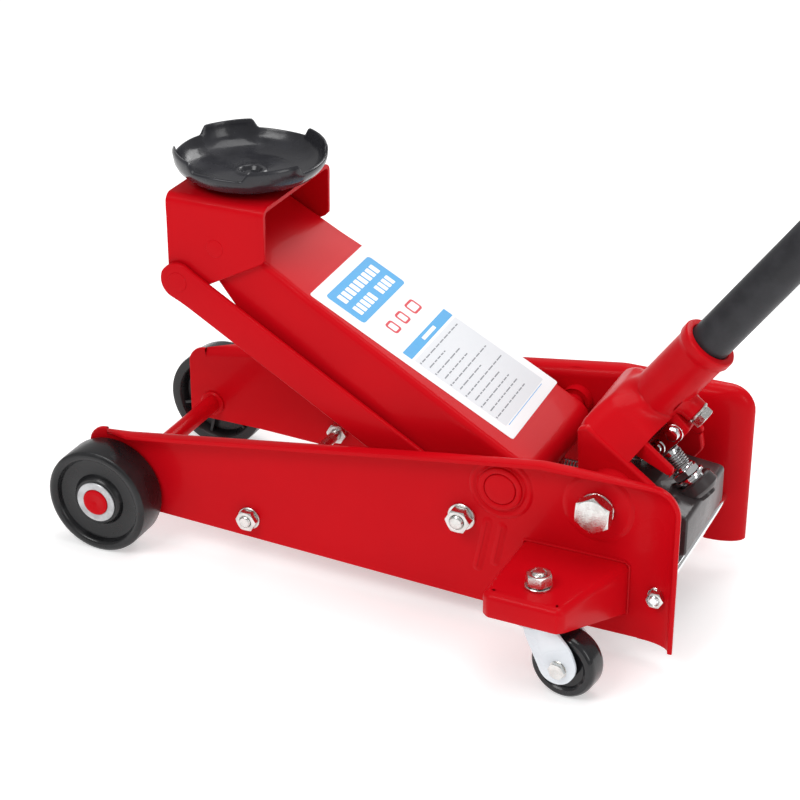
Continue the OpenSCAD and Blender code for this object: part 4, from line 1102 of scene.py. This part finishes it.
ear_line = rounded([[-18, -2, 5], [-32, -12, 7], [-34, -46, 12], [-16, -62, 9], [18, -62, 8], [28.5, -51, 5],
                    [28.5, 26, 4], [21, 30.6, 4], [-6, 8.6, 8]], 8)
ears = stack(handle_side, solid(ear_line, [ring(0, -24, 8.1, 40)], EAR_IN, EAR_OUT, 2.6, 5))
ears.join(washer(8.1, 20, EAR_OUT - 1.5, BOSS_OUT), lambda p: handle_side((p[0], p[1] - 24, p[2])))
fin_line = rounded([[43, -13, 2], [42.5, -30, 3], [42, -50, 4], [35, -50, 4], [27, -13, 4]])
ears.join(solid(fin_line, [], 36, 42, 1.4), handle_side)
piece("socket_ears", ears, RED_CAST, "handle_socket", both=True)

neck = lathe([(SOCKET_R, 60), (SOCKET_R, 114), (22.4, 117), (23.4, 119), (24, 120.4), (24, 126.4),
              (23.2, 127.6), (21.6, 128), (18.4, 128), (17.4, 127), (17.3, 110), (17.3, 60)], 72)
piece("socket_neck", neck.map(along_handle), RED_CAST, "handle_socket")
BOLT_T = 72.0


def at_bolt(p):
    """Local z points away from the socket's front, along the retaining bolt."""
    return on_handle((BOLT_T + p[0], p[1], -p[2]))


boss = lathe([(15.5, 17.0), (12.6, 19.5), (10.8, 22.4), (10.2, 25), (10.2, 31.2), (9.4, 32), (6.1, 32),
              (6.1, 20)], 48).map(at_bolt)
lug = solid(rounded([[44, -38, 4], [60, -38, 3], [63, -19, 2], [50, -19, 5]]), [], -8.9, 8.9, 1.0)
boss.join(lug, lambda p: on_handle((p[0], p[2], p[1])))
piece("socket_boss", boss, RED_CAST, "handle_socket")

bolt = stack(at_bolt, hex_body(18, 34.0, 41.0), lathe([(6, 14), (6, 36)], 32), washer(6.1, 10.4, 32.0, 33.9))
piece("handle_bolt", bolt, ZINC, "handle_socket", "retaining_bolt")

# roller links and the pump roller
link = Build()
link_bolt = np.array([49.0, -30.0])
from_foot = np.subtract(ROLLER_POS, AXIS_FOOT)
roller = np.array([from_foot @ ALONG, from_foot @ ACROSS])
d = unit(link_bolt - roller)
ang = math.atan2(d[1], d[0])
outline = [centre + r * np.array([math.cos(ang + a), math.sin(ang + a)])
           for centre, r, a0 in ((roller, 7.6, math.pi / 2), (link_bolt, 8.2, -math.pi / 2))
           for a in np.linspace(a0, a0 + math.pi, 14)]
plate_link = solid(np.array(outline), [], 9, 12, 0.5)


def across(centre, side=1):
    """Local z runs sideways from a (t, m) centre in the handle's axes."""
    return lambda p: on_handle((centre[0] + p[0], side * p[2], centre[1] + p[1]))


for sign in (-1, 1):
    link.join(plate_link, across((0, 0), sign))
    link.join(hex_body(10, 12.1, 16), across(link_bolt, sign))
    link.join(lathe([(4, 10), (4, 13.6), (3.4, 14), (0.01, 14)], 28), across(roller, sign))
    link.join(washer(4.05, 7, 12.02, 12.9), across(roller, sign))
link.join(lathe([(4, -10), (4, 10)], 28), across(roller))
piece("roller_links", link, CHROME, "handle_socket", "roller_bracket")
roll = lathe([(4.06, -8.4), (7.2, -8.4), (8, -7.6), (8, 7.6), (7.2, 8.4), (4.06, 8.4), (4.06, -8.4)], 48)
piece("roller_drum", roll.map(across(roller)), STEEL, "pump_roller", "pump_roller")

# ---------------------------------------------------------------- pump and hydraulic unit
plunger = lathe([(0.01, 8.5), (7.8, 8.5), (8.9, 9.3), (9, 11.2), (8.4, 11.6), (7, 11.7), (7, 40.5),
                 (0.01, 40.5)], 48)
piece("plunger_bar", plunger.map(on_plunger), CHROME, "pump_plunger", "pump_plunger")
gland = stack(on_plunger, hex_body(22, 28.6, 34.6, 7.1),
              lathe([(7.1, 26.4), (9.4, 26.4), (10, 26.9), (10, 28), (7.1, 28)], 48),
              washer(9, 13.6, 34.8, 37.4), lathe([(7.1, 37.4), (11, 37.4), (11, 44)], 48))
piece("gland_stack", gland, CHROME, "frame", "pump_gland_nut")
spring = coil(13.8, 8.4, 0.8, 6, steps=26).map(lambda p: on_plunger((p[0], p[1], p[2] + 12.1)))
spring_piece = piece("plunger_coil", spring, SPRING, None, "plunger_spring", sharp=80)
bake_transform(spring_piece)

block = Build()
face = rounded([[412, 45, 5], [412, 116, 5], [468, 119, 12], [509, 115, 5], [509, 80, 5], [494, 74, 5],
                [494, 45, 5]], 8)
block.join(solid(face, [], -50, 50, 2.4, 4), lambda p: np.array([p[0], p[2], p[1]]))
# ledges cast on top of the block, under its cover bolts
for y in (-36, 36):
    ledge = rounded([[428, y - 8, 4], [462, y - 8, 4], [462, y + 8, 4], [428, y + 8, 4]])
    block.join(solid(ledge, [], 114, 119.2, 0.8))
boss = lathe([(10.6, 40.0), (15.2, 40.0), (17, 41.6), (18, 50), (16, 52.6), (9, 55.4), (7.7, 55.4), (7.7, 44),
              (10.6, 44), (10.6, 40.0)], 56).map(on_plunger)
unit_block = piece("unit_block", block, BLACK, "frame", "power_unit")
carve(unit_block, lathe([(0.01, 20), (7.6, 20), (7.6, 54), (0.01, 54)], 48).map(on_plunger))
piece("unit_boss", boss, BLACK, "frame")
caps = Build()
for x, y in ((435, -36), (455, -36), (455, 36)):
    caps.join(hex_body(8, 119.2, 123), lambda p, x=x, y=y: p + (x, y, 0))
piece("unit_cap_bolts", caps, ZINC, "frame")
plug = stack(lambda p: p + (440, 30, 0), hex_body(13, 118, 123), washer(0.5, 8, 116.05, 118))
piece("filler_cap", plug, ZINC, "frame", "filler_plug")
valve = lathe([(5.1, -36), (8, -36), (9, -35), (9, -25), (8.2, -24), (5.1, -24)], 40)
piece("valve_boss", valve.map(along_handle), BLACK, "frame", "valve_body")
stub = lathe([(5, -33), (5, -18), (6, -17.6), (6, -3), (5.2, -2), (0.01, -2)], 36)
piece("valve_stub", stub.map(along_handle), ZINC, "valve_spindle", "valve_spindle")
wound = coil(58, 7.6, 1.35, 20, steps=22).map(lambda p: on_handle((p[2] - 16, p[1], p[0])))
wound_piece = piece("release_coil", wound, SPRING, None, "release_coupling", sharp=80)
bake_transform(wound_piece)
PULL_Y = -56
hook_x, anchor_x = CRANK_POS[0] - 22, 474
pull = coil(anchor_x - hook_x - 8, 3.4, 0.75, 44, steps=14)
pull.map(lambda p: np.array([hook_x + 4 + p[2], p[0] + PULL_Y, p[1] + RAM_Z]))
for x0, x1 in ((hook_x + 5, hook_x - 1.5), (anchor_x - 5, anchor_x + 1.5)):
    loop = [(x0 + (x1 - x0) * 0.5 * (1 - math.cos(a)), PULL_Y, RAM_Z + 4.0 * math.sin(a))
            for a in np.linspace(0.3, 2 * math.pi - 0.3, 20)]
    pull.join(tube(loop, 0.75))
pull_piece = piece("return_coils", pull, SPRING, None, "return_springs", sharp=80, both=True)
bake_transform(pull_piece)

# ---------------------------------------------------------------- handle
TUBE_R = 17.2
low_tube = lathe([(0.01, 28), (5.2, 28), (6, 29), (6, 58), (16.4, 58), (17.2, 59), (TUBE_R, 598.8),
                  (16.6, 599.9), (15.5, 600)], 64)
piece("handle_tube_low", low_tube.map(along_handle), TUBE_BLACK, "handle", "handle_lower")
high_tube = lathe([(15.3, 597), (15.3, 600.1), (16.6, 600.2), (TUBE_R, 601.2), (TUBE_R, 1097.5), (15, 1098),
                   (0.01, 1098)], 64)
piece("handle_tube_high", high_tube.map(along_handle), TUBE_BLACK, "handle", "handle_upper")
button = stack(lambda p: on_handle((575 + p[0], p[1], p[2])),
               lathe([(4, 14), (4, 17.6), (3.6, 18.6), (2.4, 19.2), (0.01, 19.4)], 32),
               washer(4.1, 5.2, 16.6, 17.4))
piece("handle_button", button, ZINC, "handle", "snap_button")
prof = [(TUBE_R, 965.4), (18.6, 965), (19.4, 966.2)]
t = 968.0
while t < 1090:
    prof += [(19.5, t), (19.5, t + 3.2), (18.7, t + 4.0), (18.7, t + 5.2), (19.5, t + 6.0)]
    t += 6.4
prof += [(19.5, 1096.5), (18.6, 1099), (16, 1100), (4.5, 1100), (3.5, 1099), (0.01, 1099)]
piece("handle_sleeve", lathe(prof, 72).map(along_handle), RUBBER, "handle", "handle_grip",
      sharp=50)

# ---------------------------------------------------------------- CAD pieces that keep their shape
KEEP = {
    "ram_cylinder": BLACK, "cylinder_gland": STEEL, "pump_barrel": BLACK, "unit_mounts": STEEL,
    "ram_rod": CHROME, "ram_head": STEEL,
}
for name, mat in KEEP.items():
    obj = frame["nodes"][name]
    obj.data.materials.clear()
    obj.data.materials.append(mat)

# ---------------------------------------------------------------- floor, light and camera
floor_mesh = bpy.data.meshes.new("studio_floor")
SIDE = 30
floor_mesh.from_pydata([(-SIDE, -SIDE, 0), (SIDE, -SIDE, 0), (SIDE, SIDE, 0), (-SIDE, SIDE, 0)], [],
                       [(0, 1, 2, 3)])
floor = bpy.data.objects.new("studio_floor", floor_mesh)
bpy.context.scene.collection.objects.link(floor)
floor_mat = material("studio_white", (0.80, 0.80, 0.80), (0.78, 0.78, 0.78), 0.5, 0.3, 0.7, specular=0.05)
floor_shader = floor_mat.node_tree.nodes["Principled BSDF"]
floor_shader.inputs["Emission Color"].default_value = (1, 1, 1, 1)
floor_shader.inputs["Emission Strength"].default_value = 0.42
floor_mesh.materials.append(floor_mat)

bpy.context.scene.view_settings.view_transform = "Standard"
sky = bpy.data.worlds.new("studio")
bpy.context.scene.world = sky
sky.use_nodes = True
sky.node_tree.nodes["Background"].inputs["Color"].default_value = (1.0, 1.0, 1.0, 1)
sky.node_tree.nodes["Background"].inputs["Strength"].default_value = 0.42


def softbox(name, location, target, size, power):
    data = bpy.data.lights.new(name, "AREA")
    data.shape = "RECTANGLE"
    data.size, data.size_y = size
    data.energy = power
    obj = bpy.data.objects.new(name, data)
    obj.location = location
    obj.rotation_euler = (Vector(target) - Vector(location)).to_track_quat("-Z", "Y").to_euler()
    bpy.context.scene.collection.objects.link(obj)


softbox("key", (-0.9, -1.7, 2.1), (-0.2, 0, 0.1), (1.4, 1.0), 26)
softbox("top", (0.1, 0.3, 2.4), (-0.2, 0, 0.1), (1.8, 1.2), 20)
softbox("back", (0.0, 1.9, 1.55), (-0.3, 0, 0.25), (1.3, 0.8), 16)
softbox("rim", (1.9, -0.6, 1.1), (-0.1, 0, 0.15), (0.7, 1.2), 9)

camera_data = bpy.data.cameras.new("photo_camera")
camera_data.sensor_width, camera_data.lens = 36, 99.756
camera_data.shift_x = -0.0073
camera_data.shift_y = -0.0011
camera_data.clip_start, camera_data.clip_end = 0.05, 60
camera = bpy.data.objects.new("photo_camera", camera_data)
bpy.context.scene.collection.objects.link(camera)
forward = Vector((-0.36756, 0.81296, -0.45165))
right = Vector((0.91047, 0.41356, 0.00345))
up = Vector((-0.18959, 0.40995, 0.89219))
place = Matrix((right, up, -forward)).transposed().to_4x4()
place.translation = Vector(world((935.81, -1541.36, 998.24)))
camera.matrix_world = place
bpy.context.scene.camera = camera
